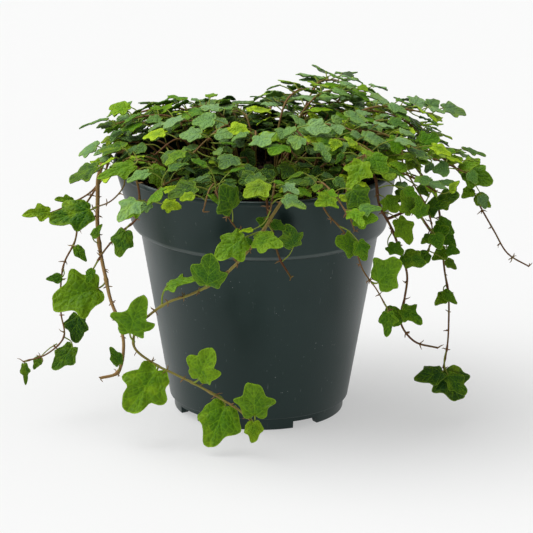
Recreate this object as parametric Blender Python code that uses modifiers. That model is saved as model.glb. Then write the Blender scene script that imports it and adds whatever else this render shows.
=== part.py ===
"""A potted string of frogs: a creeping fig with small lobed leaves, in a round plastic nursery pot.

Metres, +Z up. The origin is on the pot's axis, at the level that it stands on. -Y is the side that the
photograph shows. Every stem stands in a hole of its own in the potting mix, and its leaves are fused to it.
"""

import math
import random
from typing import NamedTuple

import bmesh
import bpy
from mathutils import Matrix, Vector
from mathutils.bvhtree import BVHTree
from mathutils.kdtree import KDTree

MM = 0.001

# Pot, all in millimetres: radius and height of the rings that its wall is turned through
POT_INSIDE = ((0.0, 5.4), (35.0, 5.4), (49.4, 80.0), (53.2, 82.4), (58.8, 107.6))
POT_RIM = ((59.3, 109.1), (60.3, 108.9), (60.6, 107.6), (60.0, 106.7))
POT_LIP = ((54.7, 83.4), (54.1, 81.5), (51.0, 80.2))
POT_FOOT = ((38.0, 5.4), (36.3, 5.0), (36.0, 0.0), (32.6, 0.0), (32.4, 3.8))
POT_PAD = ((9.2, 3.8), (9.0, 0.0), (0.0, 0.0))
POT_STEPS = 36
RIM_RADIUS = 60.3
RIM_HEIGHT = 109.1
RIM_ARCH = 5.0
ROOT_ARCH = 4.0
MOUTH_SHIFT = -2.2
MOUTH_SHIFT_FROM = 76.0
NOTCH_SIZE = (8.0, 12.4, 3.0)
NOTCH_ANGLES = (-56, 34, 124, 214)
DRAIN_RADIUS = 2.6
DRAIN_CIRCLE = 21.5
DRAIN_COUNT = 6

# Potting mix, in millimetres
SOIL_SURFACE = ((0.0, 101.6), (30.0, 101.0), (48.0, 99.6))
SOIL_EDGE = 98.6
SOIL_GAP = 0.4
# Leaves shorter than this grow too, and hold their place, but are left to the scene
SMALLEST_SOLID = 6.4
HOLE_DEPTH = 7.0
HOLE_GAP = 0.4
ROOT_DEPTH = 6.0
ROOT_STANDS = 1.6

# Stems and leaves, in millimetres
STEM_RADIUS = 0.72
STEM_STEP = 11.0
SPRAY_STEP = 12.5
FINE_STEP = 2.0
PETIOLE_WIDTH = 0.9
BLADE_THICKNESS = 0.64
CLEARANCE = 0.36
BLADE_GROWN = 1.05
# Ways to place a leaf: for one read off the photograph, how far in front of its stem and its share of the
# read length, and for a spray's leaf, its turn, its lift and its share of the drawn length
READ_TRIES = (
    (2.0, 1.0),
    (3.5, 1.0),
    (5.0, 1.0),
    (3.0, 0.9),
    (0.5, 1.0),
    (6.5, 0.9),
    (-1.5, 0.9),
    (-3.5, 0.9),
    (4.5, 0.8),
    (8.0, 0.8),
)
SPRAY_TRIES = (
    (0.0, 2.0, 1.0),
    (0.3, 3.5, 1.0),
    (-0.3, 1.0, 1.0),
    (0.5, 0.0, 0.9),
    (-0.5, 4.5, 0.9),
    (0.2, -2.0, 0.9),
    (0.8, 2.0, 0.85),
    (-0.8, 2.0, 0.85),
    (2.2, 2.0, 0.85),
)
NODES_TRIED = 10
STEMS_TRIED = 4
STEEP_COST = 7.0
BEND_COST = 3.0
STEEPEST_PETIOLE = 0.8
SHARPEST_TURN = 0.15

# How the photograph was taken: what one pixel spans on the pot's axis, the pixel where that axis meets the
# floor, and the camera's distance from there, its height above level and its roll
PIXEL = 0.4296
AXIS_PIXEL = (261.0, 402.5)
VIEW_DISTANCE = 3000.0
VIEW_ELEVATION = math.radians(19.1)
VIEW_ROLL = math.radians(0.5)
UP = Vector((0, 0, 1))
SIGHT = Vector((0, math.cos(VIEW_ELEVATION), -math.sin(VIEW_ELEVATION)))

# Half of a leaf's outline from the petiole to the tip, across and along, as shares of its length
SMALL_OUTLINE = ((0.33, 0.01), (0.49, 0.44), (0.24, 0.58), (0.0, 1.0))
LARGE_OUTLINE = (
    (0.25, -0.05),
    (0.35, 0.17),
    (0.50, 0.40),
    (0.39, 0.54),
    (0.24, 0.57),
    (0.19, 0.80),
    (0.0, 1.0),
)
LARGE_LEAF = 16.0
NECK = 0.06

LEAF_GREEN = (0.10, 0.22, 0.045)
POT_GREY = (0.030, 0.042, 0.045)
SOIL_BROWN = (0.022, 0.015, 0.010)


class Leaf(NamedTuple):
    """One leaf: where its petiole leaves the stem, its blade's base and tip, its facing and its width."""

    node: Vector
    base: Vector
    tip: Vector
    normal: Vector
    width: float


class Trail(NamedTuple):
    """A stem read off the photograph. Its route is pixel across, pixel down and millimetres behind the axis.

    Its root is in millimetres across and behind the axis, and rim is the angle at which it crosses the rim,
    if it does. A side shoot has no root and starts on the stem before it. Each leaf is the pixels of its base
    and tip, how much nearer its tip is, how far it faces up and not forward, and its width.
    """

    name: str
    root: tuple
    rim: float | None
    route: tuple
    leaves: tuple


class Whorl(NamedTuple):
    """A ring of sprays: how many, where they stand, how high and far they arch, their leaves' length and lean."""

    name: str
    count: int
    first: float
    root: float
    rise: float
    reach: float
    sink: float
    front: float
    right: float
    leaf: float
    lean: float


TRAILS = (
    Trail("left_woody_stem", (-47, -3), 183,
          ((98, 175, -6), (96.5, 205, -9), (97, 232, -12), (100, 254, -16), (106, 281, -24), (111, 302, -31),
           (119, 323, -37), (128, 339, -41), (124, 352, -44), (121, 366, -46), (118, 380, -47),
           (111, 386.5, -48), (102, 381, -49)),
          ((99, 291, 51, 305, 4, 0.2, 1.0), (121, 367, 113, 350, 2, 0.2, 0.6),
           (92, 240, 101, 228, 2, 0.3, 0.6))),
    Trail("front_vine", (14, -46), 284,
          ((279.5, 204, -64), (272, 214.7, -67), (265.6, 226.8, -69), (250, 248, -70), (233, 268, -68),
           (207, 288, -62), (182, 299.5, -58), (161, 307, -54), (153, 314.6, -52), (141, 328, -49),
           (129, 340, -47), (141, 354, -50), (153, 364, -53), (173, 374, -57), (197, 385, -61),
           (217, 396.6, -65), (229, 402, -67), (241, 410, -69), (253, 420.7, -71), (262, 429, -72)),
          ((131, 336, 139, 299, 5, 0.2, 1.15), (159, 372, 131, 416, 6, 0.2, 0.95),
           (201, 380, 212, 351, 5, 0.3, 1.0), (228, 406, 211, 448, 5, 0.2, 0.95),
           (257.4, 416.7, 256.7, 384, 4, 0.2, 1.0), (256, 422, 258, 443, 3, 0.2, 0.9),
           (244, 238, 214, 257, 6, 0.4, 1.0), (254, 240, 282, 242, 5, 0.5, 1.0),
           (207, 286, 212, 256, 5, 0.2, 0.95), (167, 288, 196, 278, 8, 0.6, 0.75))),
    Trail("front_dark_stem", (0, -45), 274,
          ((266, 206, -63), (268, 216, -62.5), (272, 232, -61), (276, 247, -60), (279, 256, -59),
           (280.5, 266, -58.5), (285, 273, -58.5), (291, 277, -59)),
          ((293, 246, 288, 224, 4, 0.3, 0.9), (267, 225, 254, 216, 2, 0.3, 1.0),
           (271, 222, 285, 230, 2, 0.3, 0.8))),
    Trail("front_feeder", (-17, -47), 254,
          ((223, 211, -65), (229.5, 220, -67), (237, 231, -68)),
          ((231, 210, 219, 188, 2, 0.6, 1.5), (222, 207, 208, 196, 5, 0.7, 0.8))),
    Trail("front_right_vine", (26, -41), 296,
          ((320, 205.5, -60), (335, 218, -62), (343, 231, -62), (353, 244, -61), (361, 265, -60),
           (370, 278, -59), (379, 290.6, -58), (388.6, 308, -57)),
          ((357, 247, 336, 240, 5, 0.4, 1.1), (358, 240, 369, 263, 3, 0.3, 0.95),
           (389, 310, 390, 335, 3, 0.2, 0.95), (378, 281, 399, 259, 5, 0.3, 1.0))),
    Trail("right_front_shoot", (35, -38), 309,
          ((346, 205, -56), (351.6, 217, -58), (354, 229.5, -59)),
          ((350, 200, 369, 208, 5, 0.4, 1.1), (354, 218, 376, 216, 5, 0.4, 0.9))),
    Trail("right_vine", (43, -22), 326,
          ((376, 197, -40), (386.6, 216.7, -42), (395, 236.6, -43), (405, 263, -43), (408, 281, -42),
           (404, 301, -41), (401, 318, -40), (409.6, 333, -39), (425, 344.5, -38), (439.4, 345, -37)),
          ((397, 217, 413, 240, 4, 0.2, 0.8), (388, 244, 404, 250, 5, 0.4, 0.9),
           (404, 252, 424, 264, 5, 0.3, 0.9), (403, 306, 424, 320, 4, 0.3, 1.0),
           (384, 196, 398, 208, 5, 0.4, 1.1), (401, 312, 380, 318, 4, 0.3, 1.0))),
    Trail("right_vine", (), None,
          ((386.6, 216.7, -42), (399, 213, -41), (411, 208, -40), (423, 217, -39), (429.5, 227, -38)),
          ((411, 209, 400, 190, 3, 0.4, 0.9), (421, 214, 417, 192, 3, 0.4, 0.9))),
    Trail("right_short_vine", (49, -10), 345,
          ((415, 186, -17), (424, 202, -19), (431, 218, -20), (432, 232, -21), (429, 246, -22),
           (424, 257, -22)),
          ((431, 236, 448, 226, 4, 0.3, 1.0), (428, 250, 415, 262, 4, 0.3, 0.9),
           (426, 206, 447, 200, 5, 0.4, 1.1))),
    Trail("right_drop_vine", (47, 0), 356,
          ((420, 172, -5), (436, 198, -8), (441, 230, -11), (443, 258, -13), (448, 284, -16),
           (450, 310, -18), (448, 336, -19), (450, 348, -20), (445, 365, -21)),
          ((448, 291, 435, 301, 3, 0.2, 0.9), (444, 288, 457, 301, 3, 0.3, 0.7),
           (447, 367, 461, 398, 4, 0.2, 1.1), (444, 369, 418, 377, 5, 0.5, 0.9),
           (450, 372, 469, 390, 4, 0.4, 0.8), (443, 232, 456, 243, 3, 0.3, 1.0),
           (436, 200, 456, 190, 4, 0.5, 1.0))),
    Trail("right_whip", (44, 9), 7,
          ((406, 146, 5), (424, 147, 4), (445, 158, 2), (461, 170.5, 0), (472.5, 191, -2), (484, 211, -3),
           (499, 236, -4), (508, 250, -5), (518, 260, -5), (529, 262, -5)),
          ((464, 167, 490, 180, 5, 0.4, 1.0), (475, 192, 490, 202, 3, 0.3, 0.9),
           (458, 166, 478, 155, 3, 0.5, 0.8), (446, 158, 461, 154, 3, 0.5, 0.8),
           (428, 148, 449, 152, 4, 0.6, 0.9))),
    Trail("left_dark_stem", (-40, -26), 214,
          ((138.5, 200, -40.5), (136, 220, -40), (127, 229, -39), (115.6, 239, -38), (104, 253.6, -38),
           (96.6, 265, -37), (92, 274, -37)),
          ((125, 233, 118, 260, 3, 0.2, 0.8), (140, 210, 122, 219, 4, 0.5, 0.8),
           (93, 272, 86, 286, 2, 0.3, 0.7))),
    Trail("left_front_shoot", (-44, -17), 204,
          ((123, 184, -30), (120, 197, -30), (110, 203.5, -28), (98.7, 208, -25), (92, 211, -23)),
          ((89, 213, 48, 224, 7, 0.4, 0.8), (133, 185, 121, 197, 2, 0.5, 0.8))),
    Trail("left_thin_vine", (-50, 6), 174,
          ((105, 172, 4), (98.7, 186, 3), (91, 197, 2), (81, 212, 0), (76, 230, -3), (73.4, 250, -6),
           (64, 267, -9), (61, 292, -13), (60, 312, -17), (67, 328, -21), (64, 343, -24), (54, 356, -27),
           (40, 359, -29), (25, 366, -31)),
          ((62, 281, 47, 283, 2, 0.3, 0.8), (79, 318, 75, 346, 4, 0.2, 0.9), (74, 350, 56, 374, 4, 0.2, 0.8),
           (42, 361, 35, 373, 2, 0.3, 0.8), (26, 368, 29, 389, 3, 0.2, 0.6),
           (75, 250, 87, 264, 3, 0.3, 0.7))),
    Trail("left_upper_shoot", (-47, 17), 163,
          ((104, 173, 14), (94, 190, 10), (83, 201, 7), (70, 207, 4), (57, 213, 2), (47, 218, 1)),
          ((49, 216, 21, 217, 4, 0.4, 0.85), (72, 204, 54, 202, 3, 0.5, 0.8))),
    Trail("front_light_shoot", (30, -29), None,
          ((338, 176, -33), (350, 160, -41), (363, 153, -48)),
          ((361, 160, 349, 189, 8, 0.5, 1.1), (369, 154, 384, 170, 6, 0.5, 1.0))),
    Trail("left_light_shoot", (-33, -20), None,
          ((158, 168, -24), (146, 162, -28), (136, 162, -31)),
          ((132, 167, 95, 180, 6, 0.6, 0.7), (150, 168, 163, 182, 6, 0.6, 0.9))),
)

# More leaves read off the photograph, each on whichever stem is nearest
SEEN_LEAVES = (
    (144, 164, 126.5, 161, 1, 0.9, 0.9), (147, 174, 125, 182, 4, 0.8, 0.7), (158, 184, 143, 202, 2, 0.3, 1.2),
    (151, 171, 163, 191, 3, 0.5, 0.8), (167, 171, 187, 164, 0, 0.85, 1.1), (163, 192, 180, 188, 1, 0.8, 0.9),
    (172, 196, 192, 197, 2, 0.4, 0.9), (205, 166, 190, 160, 2, 0.8, 1), (211, 158.5, 232, 163, 1, 1, 0.7),
    (230, 172, 207, 172.5, 5, 0.85, 1), (206, 178, 184, 185, 2, 0.95, 0.5), (253, 175, 238, 184, 3, 0.5, 1.2),
    (201, 185, 198, 195, 2, 0.4, 1.1), (184, 169, 196, 175, 1, 0.8, 0.6),
    (270, 184, 257, 187, 1, 0.8, 0.9),
    (272, 178, 260, 169, -1, 0.6, 1.1), (279, 190, 295, 186, 2, 0.8, 1), (291, 191, 267, 199, 2, 0.95, 0.45),
    (281, 163, 297, 170, 2, 0.9, 0.9),
    (296, 164, 314, 166, 0, 0.95, 0.9), (301, 172, 283, 179, 2, 0.9, 0.5), (313, 177, 297, 186, 3, 0.7, 1),
    (296, 189, 311, 195, 2, 0.8, 0.9), (321, 173, 333, 177, 2, 0.8, 0.8),
    (320, 185, 337, 186, 1, 0.8, 0.8), (321, 157, 334, 160, 1, 0.8, 0.9), (350, 188, 367, 206, 3, 0.3, 1.2),
    (168, 207, 145, 212, 3, 0.5, 0.9), (150, 206, 132, 214, 2, 0.4, 0.8), (394, 137, 414, 142, 1, 0.9, 0.8),
    (430, 143, 450, 150, 2, 0.7, 0.9), (411, 154, 394, 156, 2, 0.7, 0.9), (405, 166, 388, 160, 1, 0.7, 1),
    (380, 164, 404, 173, 2, 0.9, 0.5), (447, 165, 431, 166, 2, 0.3, 1.2), (430, 160, 423, 170, 2, 0.5, 0.9),
    (445, 154, 461, 158, 1, 0.95, 0.6), (467, 156, 478, 157, 1, 0.9, 0.8), (468, 168, 476, 180, 2, 0.4, 1),
    (480, 191, 486, 205, 2, 0.4, 0.9), (424, 179, 446, 184, 2, 0.9, 0.8),
    (449, 188, 457, 178, 1, 0.6, 1), (471, 185, 461, 195, 2, 0.5, 1.1), (425, 181, 437, 193, 2, 0.6, 0.7),
    (417, 184, 429, 193, 2, 0.5, 0.8), (398, 187, 409, 204, 2, 0.4, 0.9), (404, 186, 419, 197, 2, 0.5, 1),
    (431, 234, 420, 239, 2, 0.4, 1), (434, 231, 440, 247, 3, 0.3, 1.1),
    (446, 247, 432, 257, 2, 0.4, 1), (447, 245, 459, 250, 2, 0.4, 1.2),
    (438, 217, 453, 231, 2, 0.3, 0.8),
)

WHORLS = (
    Whorl("rim_spray", 14, -84, 41, 113.5, 67, 7.0, 2, 18, 12.0, 0.5),
    Whorl("middle_spray", 12, -70, 27, 124, 62, 5.0, -30, 16, 10.8, 0.3),
    Whorl("crown_spray", 9, -95, 13, 127.5, 44, 4.0, -18, 12, 10.4, 0.25),
)
SEEN_NEAR = 12.0
SPRAY_SEED = 7
CROWN_PEAK = math.radians(35)
CROWN_RISE = 6.0
DIP_AT = 97.0
DIP_WIDTH = 13.0
DIP_DEPTH = 10.0
# Where the photograph shows dark hollows in the canopy, as boxes of pixels, and how far back they start
HOLLOWS = ((222, 144, 310, 169), (128, 137, 216, 158))
HOLLOW_FROM = -38.0
# The front of the pot that stays bare: its half width, how far forward it starts and its top
BARE_WIDTH = 36.0
BARE_FROM = -54.0
BARE_TOP = 112.0
BACK_DROPS = {"rim_spray": (60, 95, 130)}
BACK_DROP = 46.0


def sight_line(pixel):
    """The eye, and the direction in which it looks at a pixel of the photograph."""
    right = Vector((1, 0, 0))
    up = right.cross(SIGHT)
    across, down = pixel[0] - AXIS_PIXEL[0], pixel[1] - AXIS_PIXEL[1]
    cos, sin = math.cos(VIEW_ROLL), math.sin(VIEW_ROLL)
    focal = VIEW_DISTANCE / PIXEL
    sideways, upward = across * cos - down * sin, -across * sin - down * cos
    return -SIGHT * VIEW_DISTANCE, SIGHT + (right * sideways + up * upward) / focal


def at_depth(pixel, depth):
    """The point that a pixel shows on the upright plane this far behind the pot's axis."""
    eye, way = sight_line(pixel)
    return eye + way * ((depth - eye.y) / way.y)


def over_rim(angle):
    """The point at which a stem arches over the rim."""
    across, behind = RIM_RADIUS * math.cos(angle), RIM_RADIUS * math.sin(angle)
    return Vector((MOUTH_SHIFT + across, behind, RIM_HEIGHT + RIM_ARCH))


def mouth_shift(height):
    """How far the pot's mouth is pressed sideways at a height."""
    return MOUTH_SHIFT * max(0.0, (height - MOUTH_SHIFT_FROM) / (RIM_HEIGHT - MOUTH_SHIFT_FROM))


def ring_radius(rings, height):
    """The radius at a height on a run of (radius, height) rings that goes steadily up or down."""
    for (radius_a, height_a), (radius_b, height_b) in zip(rings, rings[1:]):
        if min(height_a, height_b) <= height <= max(height_a, height_b):
            share = (height - height_a) / (height_b - height_a)
            return radius_a + (radius_b - radius_a) * share
    return rings[0][0] if abs(height - rings[0][1]) < abs(height - rings[-1][1]) else rings[-1][0]


def soil_height(radius):
    """The height of the potting mix at a distance from the axis."""
    rings = (*SOIL_SURFACE, (RIM_RADIUS, SOIL_EDGE))
    for (radius_a, height_a), (radius_b, height_b) in zip(rings, rings[1:]):
        if radius <= radius_b:
            return height_a + (height_b - height_a) * (radius - radius_a) / (radius_b - radius_a)
    return SOIL_EDGE


def clear_of_pot(point, gap):
    """Whether a point is this far outside the pot, above its rim, or above the potting mix in it."""
    if point.z > RIM_HEIGHT + gap:
        return True
    if point.z < gap:
        return False
    radius = math.hypot(point.x - mouth_shift(point.z), point.y)
    if radius > ring_radius((*POT_RIM, *POT_LIP, *POT_FOOT[:3]), point.z) + gap:
        return True
    return radius < ring_radius(POT_INSIDE[1:], point.z) - gap and point.z > soil_height(radius) + gap


def smooth_run(points):
    """Closely spaced points along the smooth curve through the given ones."""
    ends = [points[0] * 2 - points[1], *points, points[-1] * 2 - points[-2]]
    run = []
    for before, start, end, after in zip(ends, ends[1:], ends[2:], ends[3:]):
        pairs = ((before, start), (start, end), (end, after))
        first, middle, last = ((b - a).length ** 0.5 for a, b in pairs)
        leaving = (start - before) / first - (end - before) / (first + middle) + (end - start) / middle
        arriving = (end - start) / middle - (after - start) / (middle + last) + (after - end) / last
        steps = max(2, math.ceil((end - start).length / FINE_STEP))
        for t in (i / steps for i in range(steps)):
            run.append(start * (1 + 2 * t) * (1 - t) ** 2 + leaving * middle * t * (1 - t) ** 2
                       + end * t * t * (3 - 2 * t) + arriving * middle * t * t * (t - 1))
    return [*run, points[-1]]


def evenly(run, step):
    """Points evenly spaced along a run, about a step apart, with both its ends."""
    lengths = [0.0]
    for a, b in zip(run, run[1:]):
        lengths.append(lengths[-1] + (b - a).length)
    count = max(1, round(lengths[-1] / step))
    spaced = []
    at = 0
    for i in range(count + 1):
        wanted = lengths[-1] * i / count
        while at < len(run) - 2 and lengths[at + 1] < wanted:
            at += 1
        spaced.append(run[at].lerp(run[at + 1], (wanted - lengths[at]) / (lengths[at + 1] - lengths[at])))
    return spaced


class Stem:
    """A stem: the points at which it carries leaves, closely spaced points along it, and its leaves."""

    def __init__(self, name, route, step=STEM_STEP, rooted=True):
        self.name = name
        self.radius = STEM_RADIUS
        self.rooted = rooted
        self.nodes = evenly(smooth_run(route), step)
        self.leaves = []
        self.line = [self.root_end(), *self.nodes] if rooted else list(self.nodes)
        fine = [p for a, b in zip(self.line, self.line[1:]) for p in evenly([a, b], FINE_STEP)]
        self.near = KDTree(len(fine))
        for index, point in enumerate(fine):
            self.near.insert(point, index)
        self.near.balance()
        self.fine = fine

    def root_end(self):
        """The stem's lower end, straight below its first node, in its hole."""
        first = self.nodes[0]
        return Vector((first.x, first.y, first.z - ROOT_STANDS - ROOT_DEPTH))


class Growth:
    """The plant as it grows: each new stem and leaf is kept clear of the pot and of those before it."""

    def __init__(self):
        self.stems = []
        self.blades = []

    def stem_fits(self, stem):
        """Whether a new stem keeps clear of the pot and of the stems before it."""
        above = [p for p in stem.fine if p.z > stem.nodes[0].z - ROOT_STANDS] if stem.rooted else stem.fine
        if not all(clear_of_pot(p, stem.radius + CLEARANCE) for p in above[2:]):
            return False
        for other in self.stems:
            limit = stem.radius + other.radius + CLEARANCE + 0.5
            if other.name != stem.name and any(other.near.find(p)[2] < limit for p in stem.fine):
                return False
        for centre, extent, tree in self.blades:
            for point, _, _ in stem.near.find_range(centre, extent + stem.radius):
                if tree.find_nearest(point, stem.radius + 2 * CLEARANCE)[0]:
                    return False
        return True

    def leaf_fits(self, leaf, stem):
        """Whether a new leaf keeps clear of the pot and other stems and leaves, and its blade of its stem."""
        axis = leaf.tip - leaf.base
        petiole = leaf.base - leaf.node
        if abs(petiole.normalized().dot(leaf.normal)) > STEEPEST_PETIOLE:
            return False
        if petiole.dot(axis) < SHARPEST_TURN * petiole.length * axis.length:
            return False
        if not all(clear_of_pot(p, BLADE_THICKNESS) for p in leaf_samples(leaf)):
            return False
        middle, reach = leaf_span(leaf)
        whole = shell_tree(leaf, CLEARANCE, True)
        for centre, extent, tree in self.blades:
            if (centre - middle).length < extent + reach and tree.overlap(whole):
                return False
        blade = shell_tree(leaf, CLEARANCE, False)
        for other in self.stems:
            tree = blade if other.name == stem.name else whole
            for point, _, _ in other.near.find_range(middle, reach + other.radius):
                if tree.find_nearest(point, other.radius + CLEARANCE)[0]:
                    return False
        return True

    def add_leaf(self, stem, tries):
        """Grows the first of these leaves that fits, and tells whether one does."""
        for leaf in tries:
            if self.leaf_fits(leaf, stem):
                stem.leaves.append(leaf)
                self.blades.append((*leaf_span(leaf), shell_tree(leaf, 0.0, True)))
                return True
        return False


def leaf_span(leaf):
    """The middle of a leaf with its petiole, and the furthest that it reaches from there."""
    across, along = leaf_axes(leaf)
    points = [leaf.base + across * p.x + along * p.y for p in outline_of(leaf)]
    middle = (leaf.node + leaf.tip) / 2
    return middle, BLADE_GROWN * max((p - middle).length for p in (leaf.node, *points)) + BLADE_THICKNESS


def outline_of(leaf):
    """The whole outline of a leaf's blade in its own plane, from one side of its neck round to the other."""
    length = (leaf.tip - leaf.base).length
    half = LARGE_OUTLINE if length > LARGE_LEAF else SMALL_OUTLINE
    right = [Vector((x * leaf.width * length, y * length)) for x, y in half]
    left = [Vector((-p.x, p.y)) for p in reversed(right[:-1])]
    neck = Vector((PETIOLE_WIDTH / 2, NECK * length))
    return [neck, *right, *left, Vector((-neck.x, neck.y))]


def leaf_axes(leaf):
    """A leaf's directions across and along its blade."""
    along = (leaf.tip - leaf.base).normalized()
    return along.cross(leaf.normal).normalized(), along


def leaf_samples(leaf):
    """Closely spaced points on a leaf's outline, its midrib and its petiole."""
    across, along = leaf_axes(leaf)
    outline = [leaf.base + across * p.x + along * p.y for p in outline_of(leaf)]
    lines = [*zip(outline, outline[1:]), (leaf.base, leaf.tip), (leaf.node.lerp(leaf.base, 0.4), leaf.base)]
    return [p for a, b in lines for p in evenly([a, b], 1.5)]


def leaf_shell(leaf, grown, with_petiole):
    """A bmesh of a leaf: its blade and, as a ribbon from there to the stem, its petiole, both thickened."""
    across, along = leaf_axes(leaf)
    shell = bmesh.new()
    scale = BLADE_GROWN if grown else 1.0
    outline = [shell.verts.new(leaf.base + (across * p.x + along * p.y) * scale) for p in outline_of(leaf)]
    faces = [shell.faces.new(outline)]
    if with_petiole:
        beside = (leaf.base - leaf.node).cross(leaf.normal).normalized() * PETIOLE_WIDTH / 2
        ends = [shell.verts.new(leaf.node + beside * side) for side in (-1, 1)]
        faces.append(shell.faces.new((outline[-1], *ends, outline[0])))
    half = leaf.normal * (BLADE_THICKNESS / 2 + grown)
    bmesh.ops.translate(shell, verts=shell.verts, vec=half)
    raised = bmesh.ops.extrude_face_region(shell, geom=faces)["geom"]
    bmesh.ops.translate(shell, verts=[v for v in raised if isinstance(v, bmesh.types.BMVert)], vec=-2 * half)
    bmesh.ops.recalc_face_normals(shell, faces=shell.faces)
    return shell


def shell_tree(leaf, grown, with_petiole):
    """A leaf's thickened shape, for tests against other pieces."""
    shell = leaf_shell(leaf, grown, with_petiole)
    tree = BVHTree.FromBMesh(shell)
    shell.free()
    return tree


def facing(target, along):
    """The direction nearest to the target that is square to a leaf's length."""
    return (target - along * target.dot(along)).normalized()


def read_leaf(nodes, row):
    """The ways to grow a leaf that was read off the photograph, the closest to it first."""
    base_x, base_y, tip_x, tip_y, nearer, up, width = row
    for closer, share in READ_TRIES:
        ranked = []
        for node in nodes:
            base = at_depth((base_x, base_y), node.y - closer)
            tip = at_depth((tip_x, tip_y), node.y - closer - nearer)
            along = (tip - base).normalized()
            normal = facing(-SIGHT * (1 - up) + UP * up, along)
            petiole = base - node
            steep = abs(petiole.normalized().dot(normal)) if petiole.length else 1.0
            bend = 1 - petiole.normalized().dot(along)
            cost = petiole.length + STEEP_COST * steep + BEND_COST * bend
            ranked.append((cost, len(ranked), node, base, tip, normal))
        for _, _, node, base, tip, normal in sorted(ranked)[:NODES_TRIED]:
            yield Leaf(node, base, base.lerp(tip, share), normal, width)


def read_trails(growth):
    """Grows the stems that were read off the photograph, then their leaves."""
    for trail in TRAILS:
        route = [at_depth(point[:2], point[2]) for point in trail.route]
        if trail.rim is not None:
            route.insert(0, over_rim(math.radians(trail.rim)))
        if trail.root:
            root = Vector((*trail.root, soil_height(math.hypot(*trail.root)) + ROOT_STANDS))
            route = [root, root.lerp(route[0], 0.55) + UP * ROOT_ARCH, *route]
        stem = Stem(trail.name, route, rooted=bool(trail.root))
        growth.stems.append(stem)
    for trail, stem in zip(TRAILS, growth.stems):
        for row in trail.leaves:
            growth.add_leaf(stem, read_leaf(stem.fine[6:], row))


def near_sight(stem, row):
    """The points of a stem that lie near the line of sight to a leaf's base."""
    eye, way = sight_line(row[:2])
    way = way.normalized()
    return [p for p in stem.fine[6:] if (p - eye - way * (p - eye).dot(way)).length < SEEN_NEAR]


def read_seen(growth):
    """Grows the leaves that were read without their stem, on the stems that pass nearest."""
    for row in SEEN_LEAVES:
        ranked = []
        for number, stem in enumerate(growth.stems):
            nodes = near_sight(stem, row)
            if nodes:
                ranked.append((min(node.y for node in nodes), number, stem, nodes))
        for _, _, stem, nodes in sorted(ranked)[:STEMS_TRIED]:
            if growth.add_leaf(stem, read_leaf(nodes, row)):
                break


def spray_route(whorl, angle, draw):
    """The route of a spray: up from its root, over in an arch and outwards."""
    right, front = max(0.0, math.cos(angle)), max(0.0, -math.sin(angle))
    reach = whorl.reach + whorl.right * right + whorl.front * front + draw.uniform(-3, 3)
    rise = whorl.rise + draw.uniform(-2, 2)
    if whorl.name != "rim_spray":
        rise += CROWN_RISE * max(0.0, math.cos(angle - CROWN_PEAK)) ** 2
        off = (math.degrees(angle) - DIP_AT + 180) % 360 - 180
        rise -= DIP_DEPTH * math.exp(-(off / DIP_WIDTH) ** 2)
    ground = soil_height(whorl.root) + ROOT_STANDS
    sway = draw.uniform(-0.12, 0.12)
    marks = [
        (0.0, ground),
        (0.10, ground + (rise - ground) * 0.62),
        (0.38, rise),
        (0.72, rise - whorl.sink * 0.3),
        (1.0, rise - whorl.sink),
    ]
    if any(abs(math.degrees(angle) % 360 - drop) < 14 for drop in BACK_DROPS.get(whorl.name, ())):
        marks += [(1.12, rise - BACK_DROP * 0.5), (1.16, rise - BACK_DROP)]
    route = []
    for share, height in marks:
        radius = whorl.root + (reach - whorl.root) * share
        turned = angle + sway * share
        route.append(Vector((radius * math.cos(turned), radius * math.sin(turned), height)))
    return route


def spray_leaf(stem, index, whorl, draw):
    """The ways to grow the leaf at a node of a spray: to one side in turn, or ahead at its end."""
    node = stem.nodes[index]
    last = index == len(stem.nodes) - 1
    heading = (stem.nodes[min(index + 1, len(stem.nodes) - 1)] - stem.nodes[index - 1]).normalized()
    side = 0.0 if last else (1 if index % 2 else -1) * draw.uniform(0.8, 1.2)
    length = whorl.leaf * draw.uniform(0.85, 1.15)
    petiole = draw.uniform(3.5, 6.0)
    tilt = draw.uniform(-0.35, 0.35)
    for turn, lift, share in SPRAY_TRIES:
        level = Vector((heading.x, heading.y, 0)).normalized()
        way = Matrix.Rotation(side + turn, 3, "Z") @ level
        base = node + way * petiole + UP * lift
        outward = Vector((node.x, node.y, 0)).normalized()
        along = (way + UP * (0.35 * heading.z - 0.22 + 0.3 * tilt)).normalized()
        normal = facing(UP + outward * whorl.lean + way.cross(UP) * tilt, along)
        leaf = Leaf(node, base, base + along * length * share, normal, draw_width(index))
        if not stays_bare(leaf):
            yield leaf


def pixel_of(point):
    """The pixel of the photograph that shows a point."""
    right = Vector((1, 0, 0))
    reach = point + SIGHT * VIEW_DISTANCE
    scale = VIEW_DISTANCE / PIXEL / reach.dot(SIGHT)
    sideways, upward = reach.x * scale, reach.dot(right.cross(SIGHT)) * scale
    cos, sin = math.cos(VIEW_ROLL), math.sin(VIEW_ROLL)
    return AXIS_PIXEL[0] + sideways * cos - upward * sin, AXIS_PIXEL[1] - sideways * sin - upward * cos


def stays_bare(leaf):
    """Whether a leaf would fill a hollow of the canopy, or hang before the bare front of the pot."""
    middle = (leaf.base + leaf.tip) / 2
    if abs(middle.x) < BARE_WIDTH and middle.y < BARE_FROM and middle.z < BARE_TOP:
        return True
    x, y = pixel_of(middle)
    return middle.y > HOLLOW_FROM and any(a < x < c and b < y < d for a, b, c, d in HOLLOWS)


def draw_width(index):
    """The width of a spray's leaf, which varies a little from one to the next."""
    return 0.92 + 0.07 * (index * 5 % 4)


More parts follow.
